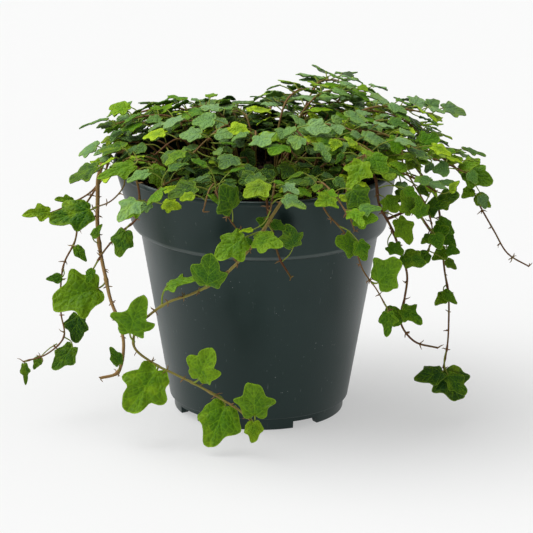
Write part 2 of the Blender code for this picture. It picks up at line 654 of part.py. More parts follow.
def grow_sprays(growth):
    """Grows the rings of sprays: all their stems first, then the leaves seen on them, then the rest."""
    draw = random.Random(SPRAY_SEED)
    grown = []
    for whorl in WHORLS:
        for number in range(whorl.count):
            angle = math.radians(whorl.first) + math.tau * number / whorl.count
            for _ in range(20):
                route = spray_route(whorl, angle + draw.uniform(-0.1, 0.1), draw)
                stem = Stem(f"{whorl.name}_{number + 1:02d}", route, SPRAY_STEP)
                if growth.stem_fits(stem):
                    growth.stems.append(stem)
                    grown.append((whorl, stem))
                    break
    read_seen(growth)
    for whorl, stem in grown:
        first = max(1, round(len(stem.nodes) * 0.25))
        for index in range(first, len(stem.nodes)):
            growth.add_leaf(stem, spray_leaf(stem, index, whorl, draw))


def material(name, colour, roughness):
    """A plain finish."""
    made = bpy.data.materials.new(name)
    made.use_nodes = True
    shader = made.node_tree.nodes["Principled BSDF"]
    shader.inputs["Base Color"].default_value = (*colour, 1)
    shader.inputs["Roughness"].default_value = roughness
    return made


def new_object(name, data, collection, finish=None):
    """An object of a mesh or a curve, linked to a collection and given its finish."""
    made = bpy.data.objects.new(name, data)
    collection.objects.link(made)
    if finish:
        data.materials.append(finish)
    return made


def as_mesh(obj):
    """The mesh of an object as it is evaluated, with doubled points welded. The object is removed."""
    bpy.context.view_layer.update()
    evaluated = obj.evaluated_get(bpy.context.evaluated_depsgraph_get())
    mesh = bpy.data.meshes.new_from_object(evaluated)
    welded = bmesh.new()
    welded.from_mesh(mesh)
    bmesh.ops.remove_doubles(welded, verts=welded.verts, dist=1e-7)
    welded.to_mesh(mesh)
    welded.free()
    bpy.data.objects.remove(obj)
    return mesh


def turned(name, rings, collection, finish):
    """A body turned round the axis through these rings, with the pot's mouth shift."""
    profile = bmesh.new()
    points = [profile.verts.new((radius * MM, 0, height * MM)) for radius, height in rings]
    for a, b in zip(points, points[1:]):
        profile.edges.new((a, b))
    mesh = bpy.data.meshes.new(name)
    profile.to_mesh(mesh)
    profile.free()
    lathe = new_object(name + "_profile", mesh, collection)
    screw = lathe.modifiers.new("Turn", "SCREW")
    screw.steps = screw.render_steps = POT_STEPS
    screw.use_merge_vertices = True
    screw.merge_threshold = 1e-6
    solid = as_mesh(lathe)
    for vertex in solid.vertices:
        vertex.co.x += mouth_shift(vertex.co.z / MM) * MM
    return new_object(name, solid, collection, finish)


def cut(obj, cutters):
    """Cuts a collection of cutters out of an object."""
    boolean = obj.modifiers.new("Cut", "BOOLEAN")
    boolean.operation = "DIFFERENCE"
    boolean.operand_type = "COLLECTION"
    boolean.collection = cutters
    boolean.solver = "EXACT"


def hide_cutter(obj):
    """Keeps a cutter out of the model."""
    obj.hide_render = True
    obj.display_type = "WIRE"


def cutter(name, collection, radius, depth, sides, place):
    """A straight cutter that stands upright with its middle at a place, in millimetres."""
    shape = bmesh.new()
    bmesh.ops.create_cone(shape, cap_ends=True, segments=sides, radius1=radius * MM, radius2=radius * MM,
                          depth=depth * MM, matrix=Matrix.Translation(place * MM))
    mesh = bpy.data.meshes.new(name)
    shape.to_mesh(mesh)
    shape.free()
    hide_cutter(new_object(name, mesh, collection))


def make_pot(parts, cutters):
    """The pot: its turned wall, with notches in its foot and drainage holes in its floor."""
    rings = (*POT_INSIDE, *POT_RIM, *POT_LIP, *POT_FOOT, *POT_PAD)
    pot = turned("pot", rings, parts, material("pot_plastic", POT_GREY, 0.5))
    for degrees in NOTCH_ANGLES:
        turn = Matrix.Rotation(math.radians(degrees), 4, "Z")
        shape = bmesh.new()
        bmesh.ops.create_cube(shape, size=1.0)
        size = Vector((NOTCH_SIZE[0], NOTCH_SIZE[1], 2 * NOTCH_SIZE[2])) * MM
        bmesh.ops.scale(shape, vec=size, verts=shape.verts)
        bmesh.ops.translate(shape, vec=Vector((POT_FOOT[2][0] * MM, 0, 0)), verts=shape.verts)
        bmesh.ops.transform(shape, matrix=turn, verts=shape.verts)
        mesh = bpy.data.meshes.new("foot_notch")
        shape.to_mesh(mesh)
        shape.free()
        hide_cutter(new_object("foot_notch", mesh, cutters))
    for number in range(DRAIN_COUNT):
        angle = math.tau * number / DRAIN_COUNT
        place = Vector((DRAIN_CIRCLE * math.cos(angle), DRAIN_CIRCLE * math.sin(angle), POT_INSIDE[0][1]))
        cutter("drain_hole", cutters, DRAIN_RADIUS, 8.0, 10, place)
    cut(pot, cutters)
    pot.data.shade_smooth()
    pot.data.set_sharp_from_angle(angle=math.radians(35))


def make_soil(parts, cutters, stems):
    """The potting mix, with a hole for each stem."""
    edge = ring_radius(POT_INSIDE[1:], SOIL_EDGE) - SOIL_GAP
    inner = [(radius - SOIL_GAP, height) for radius, height in reversed(POT_INSIDE[1:4])]
    inner[-1] = (inner[-1][0], inner[-1][1] + SOIL_GAP)
    rings = (*SOIL_SURFACE, (edge, SOIL_EDGE), *inner, (0.0, inner[-1][1]))
    soil = turned("soil", rings, parts, material("potting_mix", SOIL_BROWN, 0.95))
    for stem in stems:
        if stem.rooted:
            first = stem.nodes[0]
            top = Vector((first.x, first.y, first.z - ROOT_STANDS))
            radius = (stem.radius + HOLE_GAP) * math.sqrt(2)
            cutter("stem_hole", cutters, radius, 2 * HOLE_DEPTH, 4, top)
    cut(soil, cutters)


def make_stem(name, stems, parts, finish):
    """One leafy stem: its stem and side shoots, joined with its leaves by one Boolean union."""
    pieces = bpy.data.collections.new(name + "_pieces")
    bpy.context.scene.collection.children.link(pieces)
    for stem in stems:
        curve = bpy.data.curves.new(name, "CURVE")
        curve.dimensions = "3D"
        curve.bevel_depth = stem.radius * MM
        curve.bevel_resolution = 0
        curve.use_fill_caps = True
        spline = curve.splines.new("POLY")
        spline.points.add(len(stem.line) - 1)
        for target, point in zip(spline.points, stem.line):
            target.co = (*(point * MM), 1)
        mesh = as_mesh(new_object(name + "_route", curve, pieces))
        new_object(name + "_stem", mesh, pieces)
        for leaf in stem.leaves:
            if (leaf.tip - leaf.base).length < SMALLEST_SOLID:
                continue
            shell = leaf_shell(leaf, 0.0, True)
            bmesh.ops.scale(shell, vec=(MM, MM, MM), verts=shell.verts)
            mesh = bpy.data.meshes.new(name + "_leaf")
            shell.to_mesh(mesh)
            shell.free()
            new_object(name + "_leaf", mesh, pieces)
    core = next(iter(pieces.objects))
    pieces.objects.unlink(core)
    parts.objects.link(core)
    union = core.modifiers.new("Join", "BOOLEAN")
    union.operation = "UNION"
    union.operand_type = "COLLECTION"
    union.collection = pieces
    union.solver = "MANIFOLD"
    joined = as_mesh(core)
    for piece in list(pieces.objects):
        bpy.data.objects.remove(piece)
    bpy.data.collections.remove(pieces)
    joined.materials.clear()
    new_object(name, joined, parts, finish)


def main():
    """Builds the pot, the potting mix and every leafy stem."""
    for obj in list(bpy.data.objects):
        bpy.data.objects.remove(obj)
    parts = bpy.data.collections.new("potted_string_of_frogs")
    pot_cutters = bpy.data.collections.new("pot_cutters")
    soil_cutters = bpy.data.collections.new("soil_cutters")
    for collection in (parts, pot_cutters, soil_cutters):
        bpy.context.scene.collection.children.link(collection)
    growth = Growth()
    read_trails(growth)
    grow_sprays(growth)
    make_pot(parts, pot_cutters)
    make_soil(parts, soil_cutters, growth.stems)
    leaf_green = material("leaf_green", LEAF_GREEN, 0.5)
    names = dict.fromkeys(stem.name for stem in growth.stems)
    for name in names:
        make_stem(name, [stem for stem in growth.stems if stem.name == name], parts, leaf_green)


if __name__ == "__main__":
    main()
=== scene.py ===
"""Looks of a potted string of frogs: a creeping fig with small lobed leaves, in a round plastic nursery pot.

Sizes are in millimetres where a class states them, and every finished mesh is in metres, +Z up, in the frame
of the CAD model. -Y is the side that the photograph shows.
"""

import logging
import math
import random
from collections.abc import Iterator, Sequence
from dataclasses import dataclass, field
from enum import Enum
from itertools import pairwise
from typing import NamedTuple

import bmesh
import bpy
from mathutils import Matrix, Quaternion, Vector, noise
from mathutils.bvhtree import BVHTree
from mathutils.kdtree import KDTree


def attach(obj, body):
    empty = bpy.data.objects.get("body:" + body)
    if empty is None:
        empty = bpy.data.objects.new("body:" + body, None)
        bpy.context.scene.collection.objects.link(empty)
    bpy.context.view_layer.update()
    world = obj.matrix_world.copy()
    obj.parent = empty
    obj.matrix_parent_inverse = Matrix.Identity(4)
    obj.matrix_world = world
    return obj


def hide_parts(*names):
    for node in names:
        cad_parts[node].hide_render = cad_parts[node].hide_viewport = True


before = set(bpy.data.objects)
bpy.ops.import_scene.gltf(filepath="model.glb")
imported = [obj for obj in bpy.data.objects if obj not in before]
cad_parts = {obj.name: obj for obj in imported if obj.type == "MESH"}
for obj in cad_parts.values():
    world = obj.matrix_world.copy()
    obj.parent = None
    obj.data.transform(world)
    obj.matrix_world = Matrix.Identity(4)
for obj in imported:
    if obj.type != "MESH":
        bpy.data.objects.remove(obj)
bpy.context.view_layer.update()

MM = 0.001
UP = Vector((0, 0, 1))
RIGHT = Vector((1, 0, 0))
WHITE = (1.0, 1.0, 1.0)
TINT = "growth_tint"
PLACE = "leaf_place"
TWIGS = "fine_twigs"
LOG = logging.getLogger("potted_string_of_frogs")

Ring = tuple[float, float]
Colour = tuple[float, float, float]
Row = tuple[float, float, float]
Tube = tuple[list[Vector], list[float]]
Material = bpy.types.Material
Mesh = bpy.types.Mesh
Piece = bpy.types.Object
Shape = bmesh.types.BMesh
Socket = bpy.types.NodeSocket
Value = float | Colour | Vector | Socket


@dataclass(frozen=True)
class PhotoView:
    """Where the photograph was taken from, and what its pixels show.

    Attributes:
        pixel: What one pixel spans on the pot's axis.
        axis_pixel: The pixel where that axis meets the floor.
        distance, elevation, roll: How far off and how high the camera is, and its turn about its sight.
    """

    pixel: float = 0.4296
    axis_pixel: tuple[float, float] = (261.0, 402.5)
    distance: float = 3000.0
    elevation: float = math.radians(19.1)
    roll: float = math.radians(0.5)
    side: int = 533
    sensor_width: float = 36.0
    clip_end: float = 100.0

    @property
    def sight(self) -> Vector:
        """The direction in which the camera looks at the foot of the pot."""
        return Vector((0, math.cos(self.elevation), -math.sin(self.elevation)))

    @property
    def rise(self) -> Vector:
        """The direction square to the sight and to the right, which is up in an unturned picture."""
        return RIGHT.cross(self.sight)

    def ray(self, pixel: Sequence[float]) -> tuple[Vector, Vector]:
        """Follows a pixel's line of sight.

        Args:
            pixel: The place in the picture, across and down.

        Returns:
            The eye, and the direction in which it sees that pixel.
        """
        across, down = pixel[0] - self.axis_pixel[0], pixel[1] - self.axis_pixel[1]
        cos, sin = math.cos(self.roll), math.sin(self.roll)
        focal = self.distance / self.pixel
        sideways, upward = across * cos - down * sin, -across * sin - down * cos
        return -self.sight * self.distance, self.sight + (RIGHT * sideways + self.rise * upward) / focal

    def at_depth(self, pixel: Sequence[float], depth: float) -> Vector:
        """The point that a pixel shows on an upright plane, at a depth behind the pot's axis."""
        eye, way = self.ray(pixel)
        return eye + way * ((depth - eye.y) / way.y)

    def pixel_of(self, point: Vector) -> tuple[float, float]:
        """Finds the pixel that shows a point.

        Args:
            point: The point.

        Returns:
            The place in the picture, across and down.
        """
        reach = point + self.sight * self.distance
        scale = self.distance / self.pixel / reach.dot(self.sight)
        sideways, upward = reach.x * scale, reach.dot(self.rise) * scale
        cos, sin = math.cos(self.roll), math.sin(self.roll)
        across = self.axis_pixel[0] + sideways * cos - upward * sin
        down = self.axis_pixel[1] - sideways * sin - upward * cos
        return across, down

    def make_camera(self) -> Piece:
        """Makes the camera that sees what the photograph shows.

        Returns:
            The camera, set as the scene's own.
        """
        lens = bpy.data.cameras.new("photo_view")
        lens.sensor_width = self.sensor_width
        lens.lens = self.sensor_width * (self.distance / self.pixel) / self.side
        lens.clip_end = self.clip_end
        camera = add_object("photo_view", lens)
        eye, way = self.ray((self.side / 2, self.side / 2))
        camera.location = eye * MM
        camera.rotation_mode = "QUATERNION"
        camera.rotation_quaternion = way.to_track_quat("-Z", "Y") @ Quaternion((0, 0, 1), self.roll)
        bpy.context.scene.camera = camera
        return camera


VIEW = PhotoView()


class NodeGraph:
    """A node tree in the making, with short ways to add to it."""

    def __init__(self, tree: bpy.types.NodeTree) -> None:
        """Starts on a node tree."""
        self.tree = tree

    def feed(self, socket: Socket, value: Value) -> None:
        """Links a socket to another, or sets it to a plain value."""
        if isinstance(value, Socket):
            self.tree.links.new(value, socket)
        elif isinstance(value, (tuple, Vector)) and len(socket.default_value) == 4:
            socket.default_value = (*value, 1.0)
        else:
            socket.default_value = value

    def node(self, kind: str, inputs: dict[str | int, Value], **settings: object) -> bpy.types.Node:
        """Adds a node.

        Args:
            kind: The node's type, without its ShaderNode prefix.
            inputs: What each input is fed, by name or number.
            **settings: The node's own settings.

        Returns:
            The new node.
        """
        made = self.tree.nodes.new("ShaderNode" + kind)
        for name, value in settings.items():
            setattr(made, name, value)
        for name, value in inputs.items():
            self.feed(made.inputs[name], value)
        return made

    def math(self, operation: str, *values: Value) -> Socket:
        """Adds one step of arithmetic and returns its result."""
        return self.node("Math", dict(enumerate(values)), operation=operation).outputs[0]

    def times(self, first: Value, second: Value) -> Socket:
        """Adds a product of two values and returns it."""
        return self.math("MULTIPLY", first, second)

    def plus(self, first: Value, second: Value) -> Socket:
        """Adds a sum of two values and returns it."""
        return self.math("ADD", first, second)

    def most(self, first: Value, second: Value) -> Socket:
        """Adds the choice of the larger of two values and returns it."""
        return self.math("MAXIMUM", first, second)

    def clamp(self, value: Value) -> Socket:
        """Adds limits of 0 and 1 to a value and returns it."""
        return self.node("Clamp", {"Value": value}).outputs[0]

    def span(self, value: Value, low: float, high: float, start: float = 0.0, end: float = 1.0) -> Socket:
        """Adds a smooth step, which is start up to the value low and end from high on, and returns its result."""
        inputs = {"Value": value, "From Min": low, "From Max": high, "To Min": start, "To Max": end}
        return self.node("MapRange", inputs, interpolation_type="SMOOTHSTEP").outputs["Result"]


class Recipe(NodeGraph):
    """A material in the making: the nodes that feed its shader."""

    def __init__(self, name: str, roughness: float, specular: float = 0.5) -> None:
        """Starts a material.

        Args:
            name: The material's name.
            roughness: Its roughness where nothing changes it.
            specular: Its specular level.
        """
        self.material = bpy.data.materials.new(name)
        self.material.use_nodes = True
        super().__init__(self.material.node_tree)
        self.shader = self.tree.nodes["Principled BSDF"]
        self.shader.inputs["Roughness"].default_value = roughness
        self.shader.inputs["Specular IOR Level"].default_value = specular

    def mix(self, share: Value, start: Value, end: Value) -> Socket:
        """Adds a mix of two colours and returns the colour."""
        return self.node("Mix", {0: share, 6: start, 7: end}, data_type="RGBA").outputs[2]

    def noise(self, scale: float, detail: float = 2.0, where: Value | None = None) -> Socket:
        """Adds noise over the object's coordinates, or over another place, and returns its value."""
        place = self.place() if where is None else where
        return self.node("TexNoise", {"Vector": place, "Scale": scale, "Detail": detail}).outputs["Fac"]

    def cells(self, scale: float, where: Value, feature: str = "F1") -> Socket:
        """Adds a pattern of cells and returns the distance from their middles, or from another feature of theirs."""
        inputs = {"Vector": where, "Scale": scale}
        return self.node("TexVoronoi", inputs, feature=feature).outputs["Distance"]

    def place(self) -> Socket:
        """The place on the object, in metres."""
        return self.node("TexCoord", {}).outputs["Object"]

    def parts(self, vector: Value) -> tuple[Socket, Socket, Socket]:
        """Takes a vector apart."""
        made = self.node("SeparateXYZ", {"Vector": vector})
        return made.outputs[0], made.outputs[1], made.outputs[2]

    def attribute(self, name: str) -> tuple[Socket, Socket, Socket]:
        """The three numbers of one of the mesh's own attributes."""
        return self.parts(self.node("Attribute", {}, attribute_name=name).outputs["Vector"])

    def bump(self, height: Value, distance: float, strength: float = 1.0) -> None:
        """Gives the surface relief of a height in metres."""
        made = self.node("Bump", {"Height": height, "Distance": distance, "Strength": strength})
        self.feed(self.shader.inputs["Normal"], made.outputs["Normal"])

    def finish(self, **sockets: Value) -> Material:
        """Feeds the shader's own sockets, whose names have _ for a space, and returns the material."""
        for name, value in sockets.items():
            self.feed(self.shader.inputs[name.replace("_", " ")], value)
        return self.material


class Band(NamedTuple):
    """A pale line painted round the pot as a highlight along an edge: its height, half its width, and how strongly it
    shows.
    """

    height: float
    half: float
    strength: float


@dataclass(frozen=True)
class PotPlastic:
    """Matte dark plastic, with a little dust, a fine moulded grain, a few scuffs and painted highlight lines along its
    lip, rim and foot.

    Attributes:
        wear, rougher: How far worn plastic goes from base to worn, and how much rougher it is.
        highlight_core, highlight_least: The share of a painted highlight line that doesn't fade, and its strength where
            the plastic is new.
    """

    base: Colour = (0.0028, 0.0118, 0.0102)
    worn: Colour = (0.011, 0.025, 0.0225)
    wear: float = 0.55
    # The colour of dust and scuffs, and also of the painted highlight lines along the lip, rim and foot.
    dust_and_highlight: Colour = (0.20, 0.22, 0.21)
    sheen: Colour = (0.78, 1.0, 0.97)
    specular: float = 0.42
    roughness: float = 0.36
    rougher: float = 0.10
    scuff_strength: float = 0.22
    scuff_scale: Row = (900.0, 900.0, 45.0)
    scuff_turn: Row = (0.0, 0.5, 0.0)
    # Painted highlights: pale lines along the lip's lower edge, the top of the rim and the foot.
    painted_edge_highlights: tuple[Band, ...] = (Band(82.2, 1.1, 0.28), Band(109.0, 0.5, 0.40), Band(5.2, 0.5, 0.12))
    highlight_core: float = 0.3
    highlight_least: float = 0.45
    grain: float = 0.00006

    def marks(self, mixed: Recipe, clouds: Socket) -> Socket:
        """Lays dust, scuffs and painted highlight lines on the plastic.

        Args:
            mixed: The material in the making.
            clouds: How worn the plastic is.

        Returns:
            How strongly they show.
        """
        thin = mixed.span(mixed.noise(60.0, detail=3.0), low=0.52, high=0.70)
        specks = mixed.span(mixed.cells(420.0, mixed.place()), low=0.06, high=0.11, start=1.0, end=0.0)
        turned = {"Vector": mixed.place(), "Scale": Vector(self.scuff_scale), "Rotation": Vector(self.scuff_turn)}
        streaks = mixed.noise(1.0, where=mixed.node("Mapping", turned).outputs["Vector"])
        scuffs = mixed.times(mixed.span(streaks, low=0.70, high=0.78), self.scuff_strength)
        marks = mixed.most(mixed.times(specks, thin), scuffs)
        _, _, height = mixed.parts(mixed.place())
        # Each band paints a pale highlight line along an edge, stronger where the plastic is worn.
        for band in self.painted_edge_highlights:
            off = mixed.math("ABSOLUTE", mixed.math("SUBTRACT", height, band.height * MM))
            line = mixed.span(off, band.half * MM * self.highlight_core, band.half * MM, band.strength, 0.0)
            marks = mixed.most(marks, mixed.times(line, mixed.plus(clouds, self.highlight_least)))
        return marks

    def material(self) -> Material:
        """Mixes the plastic.

        Returns:
            The finished material.
        """
        mixed = Recipe("pot_plastic", self.roughness, self.specular)
        clouds = mixed.span(mixed.noise(26.0, detail=4.0), low=0.35, high=0.75)
        body = mixed.mix(mixed.times(clouds, self.wear), self.base, self.worn)
        colour = mixed.mix(self.marks(mixed, clouds), body, self.dust_and_highlight)
        mixed.bump(mixed.noise(2200.0), self.grain, strength=0.5)
        rough = mixed.plus(mixed.times(clouds, self.rougher), self.roughness)
        return mixed.finish(Base_Color=colour, Roughness=rough, Specular_Tint=self.sheen)


@dataclass(frozen=True)
class PottingMixFinish:
    """Dark damp peat and bark, each crumb a little different."""

    wet: Colour = (0.006, 0.004, 0.003)
    dry: Colour = (0.055, 0.035, 0.020)
    relief: float = 0.0009
    fine_relief: float = 0.4

    def material(self) -> Material:
        """Mixes the potting mix.

        Returns:
            The finished material.
        """
        mixed = Recipe("potting_mix", roughness=0.92, specular=0.25)
        coarse, fine = mixed.noise(240.0, detail=5.0), mixed.noise(1500.0, detail=3.0)
        share = mixed.times(mixed.span(coarse, low=0.38, high=0.68), mixed.span(fine, low=0.3, high=0.7))
        mixed.bump(mixed.plus(coarse, mixed.times(fine, self.fine_relief)), self.relief)
        return mixed.finish(Base_Color=mixed.mix(share, self.wet, self.dry))


@dataclass(frozen=True)
class CrumbFinish:
    """Crumbs of bark, peat fibre and moss, told apart by the tint that each carries."""

    dark: Colour = (0.014, 0.009, 0.006)
    bark: Colour = (0.15, 0.085, 0.045)
    moss: Colour = (0.085, 0.115, 0.020)
    relief: float = 0.0004

    def material(self) -> Material:
        """Mixes the crumbs' finish.

        Returns:
            The finished material.
        """
        mixed = Recipe("crumb_finish", roughness=0.9, specular=0.25)
        brown, green, _ = mixed.attribute(TINT)
        grain = mixed.noise(1800.0, detail=4.0)
        uneven = mixed.times(brown, mixed.span(grain, low=0.2, high=0.8, start=0.4))
        mixed.bump(grain, self.relief)
        return mixed.finish(Base_Color=mixed.mix(green, mixed.mix(uneven, self.dark, self.bark), self.moss))


@dataclass(frozen=True)
class ShootFinish:
    """Skin of stems and petioles, from yellow-green where it is young to brown, dark or tan."""

    green: Colour = (0.20, 0.27, 0.028)
    brown: Colour = (0.100, 0.036, 0.011)
    tan: Colour = (0.38, 0.23, 0.085)
    uneven: float = 0.14
    worn: float = 0.35
    relief: float = 0.00018

    def material(self) -> Material:
        """Mixes the skin.

        Returns:
            The finished material.
        """
        mixed = Recipe("shoot_skin", roughness=0.62, specular=0.22)
        woody, pale, _ = mixed.attribute(TINT)
        streaks = mixed.noise(900.0, detail=4.0)
        patches = mixed.span(mixed.noise(160.0), 0.35, 0.65, -self.uneven, self.uneven)
        share = mixed.clamp(mixed.plus(woody, patches))
        body = mixed.mix(share, self.green, mixed.mix(pale, self.brown, self.tan))
        worn = mixed.times(mixed.span(streaks, low=0.55, high=0.8), self.worn)
        mixed.bump(streaks, self.relief)
        return mixed.finish(Base_Color=mixed.mix(worn, body, self.tan))


@dataclass(frozen=True)
class LeafFinish:
    """Leaf skin: sunken veins that fan out from the petiole, a puckered surface and a thin pale margin.

    Attributes:
        deep, full, cool, young: A dark old leaf and painted shade, one in the light, a blue-green leaf and painted
            sheen, and a fresh one.
        mesh_scale: How many cells of the net of fine veins fit along a blade.
        line, thread: Between which distances from its middle a vein's and a fine vein's colour fades.
        trough, puckered: How far from a vein and from a fine vein the skin is sunken.
        edge, border: Where the thin pale edge and the broad faint band within it begin, and how pale they are; the band
            is partly a painted highlight on lit edges.
        veins: Where each vein starts and ends, across and along the blade.
    """

    # A dark old leaf; leaf_tint also gives this colour as painted shade to low leaves inside the canopy.
    deep: Colour = (0.007, 0.040, 0.009)
    full: Colour = (0.074, 0.228, 0.002)
    # A pale blue-green leaf; leaf_tint gives it more often high on the canopy, where it is also a painted sheen of the
    # sky.
    cool: Colour = (0.250, 0.425, 0.195)
    young: Colour = (0.45, 0.64, 0.016)
    vein: Colour = (0.21, 0.42, 0.010)
    margin: Colour = (0.38, 0.58, 0.022)
    under: Colour = (0.11, 0.21, 0.025)
    mesh_scale: float = 9.0
    line: Ring = (0.002, 0.014)
    thread: Ring = (0.02, 0.11)
    trough: float = 0.10
    puckered: float = 0.35
    veins_show: float = 0.42
    threads_show: float = 0.15
    puckers_show: float = 0.22
    under_shows: float = 0.75
    edge: Ring = (0.94, 0.42)
    border: Ring = (0.50, 0.06)
    relief: float = 0.0005
    gloss: Ring = (0.36, 0.50)
    veins: tuple[tuple[Ring, Ring], ...] = (
        ((0.0, 0.0), (0.0, 0.97)),
        ((0.0, 0.02), (0.47, 0.42)),
        ((0.0, 0.02), (0.27, 0.0)),
        ((0.0, 0.34), (0.20, 0.62)),
        ((0.0, 0.56), (0.15, 0.80)),
    )

    def vein_distance(self, mixed: Recipe, side: Socket, along: Socket) -> Socket:
        """Finds how far each point of the blade is from the nearest vein.

        Args:
            mixed: The material in the making.
            side: The distance from the midrib.
            along: The distance from the petiole.

        Returns:
            The distance, as a share of the leaf's length.
        """
        nearest: Socket | None = None
        for start, end in self.veins:
            reach = (Vector(end) - Vector(start)).length
            way = (Vector(end) - Vector(start)).normalized()
            from_side = mixed.math("SUBTRACT", side, start[0])
            from_base = mixed.math("SUBTRACT", along, start[1])
            forward = mixed.math("MULTIPLY_ADD", from_side, way.x, mixed.times(from_base, way.y))
            beside = mixed.math("MULTIPLY_ADD", from_side, way.y, mixed.times(from_base, -way.x))
            outside = mixed.most(mixed.times(forward, -1.0), mixed.math("SUBTRACT", forward, reach))
            far = mixed.most(mixed.math("ABSOLUTE", beside), outside)
            nearest = far if nearest is None else mixed.math("MINIMUM", nearest, far)
        return nearest

    def age(self, mixed: Recipe, share: Socket) -> Socket:
        """Colours the skin by its age and its light, without its veins.

        Args:
            mixed: The material in the making.
            share: The share of the way to the margin.

        Returns:
            The colour.
        """
        fresh, dark, chance = mixed.attribute(TINT)
        grown = mixed.mix(mixed.clamp(mixed.times(fresh, -1.0)), self.full, self.cool)
        patches = mixed.span(mixed.noise(170.0, detail=3.0), low=0.42, high=0.72)
        aged = mixed.times(patches, mixed.math("MULTIPLY_ADD", chance, 0.30, 0.05))
        # Fresh leaves grow yellower towards the margin: partly their own colour, partly a painted highlight on lit
        # edges.
        yellow = mixed.times(fresh, mixed.span(share, low=0.15, high=0.95, start=0.45, end=1.05))
        return mixed.mix(mixed.most(yellow, aged), mixed.mix(dark, grown, self.deep), self.young)

    def material(self) -> Material:
        """Mixes the leaf's skin.

        Returns:
            The finished material.
        """
        mixed = Recipe("leaf_skin", roughness=0.42, specular=0.10)
        across, along, edge = mixed.attribute(PLACE)
        _, dark, chance = mixed.attribute(TINT)
        share = mixed.math("ABSOLUTE", edge)
        near = self.vein_distance(mixed, mixed.math("ABSOLUTE", across), along)
        place = mixed.node("CombineXYZ", {0: across, 1: along, 2: chance}).outputs[0]
        cells = mixed.cells(self.mesh_scale, place, "DISTANCE_TO_EDGE")
        pucker = mixed.span(cells, 0.0, self.puckered)
        tone = self.age(mixed, share)
        tone = mixed.mix(mixed.times(pucker, self.puckers_show), tone, self.deep)
        for distance, fades, strength in ((cells, self.thread, self.threads_show), (near, self.line, self.veins_show)):
            tone = mixed.mix(mixed.times(mixed.span(distance, *fades, 1.0, 0.0), strength), tone, self.vein)
        # The thin pale edge is the leaf's own; the broad faint band within it is partly a painted highlight.
        edged, bordered = (mixed.span(share, begin, 1.0, 0.0, most) for begin, most in (self.edge, self.border))
        tone = mixed.mix(mixed.plus(edged, bordered), tone, self.margin)
        beneath = mixed.span(edge, low=-0.01, high=0.01, start=1.0, end=0.0)
        tone = mixed.mix(mixed.times(beneath, self.under_shows), tone, mixed.mix(dark, self.under, self.deep))
        fine = mixed.noise(1300.0, detail=3.0)
        sunken = mixed.plus(mixed.times(mixed.span(near, 0.0, self.trough), 0.8), mixed.times(fine, 0.2))
        mixed.bump(mixed.plus(sunken, mixed.times(pucker, 0.5)), self.relief, strength=0.8)
        return mixed.finish(Base_Color=tone, Roughness=mixed.span(fine, 0.3, 0.7, *self.gloss))


@dataclass(frozen=True)
class FloorFinish:
    """Smooth pale studio floor."""

    shade: Colour = (0.42, 0.422, 0.42)
    faint: Colour = (0.6, 0.6, 0.6)
    faintness: float = 0.02
    glow: float = 0.44

    def material(self) -> Material:
        """Mixes the floor's finish.

        Returns:
            The finished material.
        """
        mixed = Recipe("studio_floor", roughness=0.75, specular=0.1)
        share = mixed.span(mixed.noise(1.2), 0.3, 0.7, 0.0, self.faintness)
        colour = mixed.mix(share, self.shade, self.faint)
        return mixed.finish(Base_Color=colour, Emission_Color=WHITE, Emission_Strength=self.glow)


def add_object(name: str, data: bpy.types.ID) -> Piece:
    """Adds an object with a mesh, curve or camera to the scene, at the origin."""
    made = bpy.data.objects.new(name, data)
    bpy.context.scene.collection.objects.link(made)
    return made


def new_object(name: str, shape: Shape, finishes: Sequence[Material]) -> Piece:
    """Makes an object at the origin and frees the bmesh.

    Args:
        name: The piece's name.
        shape: Its shape, in metres.
        finishes: Its materials, in the order that its faces number them.

    Returns:
        The new object.
    """
    mesh = bpy.data.meshes.new(name)
    shape.to_mesh(mesh)
    shape.free()
    for finish in finishes:
        mesh.materials.append(finish)
    return add_object(name, mesh)


def evaluated_mesh(made: Piece, weld: float = 1e-7) -> Mesh:
    """Takes an object's mesh as its modifiers leave it, and removes the object.

    Args:
        made: A mesh or curve object.
        weld: Within which distance its points are one, in metres.

    Returns:
        Its mesh, with doubled points welded.
    """
    bpy.context.view_layer.update()
    mesh = bpy.data.meshes.new_from_object(made.evaluated_get(bpy.context.evaluated_depsgraph_get()))
    welded = bmesh.new()
    welded.from_mesh(mesh)
    bmesh.ops.remove_doubles(welded, verts=welded.verts, dist=weld)
    bmesh.ops.recalc_face_normals(welded, faces=welded.faces)
    welded.to_mesh(mesh)
    welded.free()
    bpy.data.objects.remove(made)
    return mesh


def give_rows(made: Piece, attribute: str, rows: Sequence[Row]) -> None:
    """Gives each point of a mesh three numbers, which its finish reads by name."""
    layer = made.data.attributes.new(attribute, "FLOAT_VECTOR", "POINT")
    layer.data.foreach_set("vector", [number for row in rows for number in row])


def polar(radius: float, angle: float, height: float) -> Vector:
    """The point at a distance from the axis, in a direction and at a height."""
    return Vector((radius * math.cos(angle), radius * math.sin(angle), height))


def level(way: Vector) -> Vector:
    """A direction without its rise."""
    return Vector((way.x, way.y, 0)).normalized()


def bounded(share: float) -> float:
    """Keeps a share between 0 and 1."""
    return max(0.0, min(1.0, share))


def any_way(draw: random.Random) -> Vector:
    """Draws a direction, which isn't of length 1."""
    return Vector((draw.uniform(-1, 1), draw.uniform(-1, 1), draw.uniform(-1, 1)))


def search_tree(points: Sequence[Vector]) -> KDTree:
    """Makes a tree that finds the nearest of points."""
    tree = KDTree(len(points))
    for index, point in enumerate(points):
        tree.insert(point, index)
    tree.balance()
    return tree


def place_piece(piece: Piece, slot: str, *nodes: str) -> None:
    """Lets a piece ride on the plant's one body.

    Args:
        piece: The piece.
        slot: Not used.
        *nodes: The CAD nodes that it stands for.
    """
    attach(piece, "root")
    if nodes:
        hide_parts(*nodes)
    LOG.info("%s: %d faces", piece.name, len(piece.data.polygons))


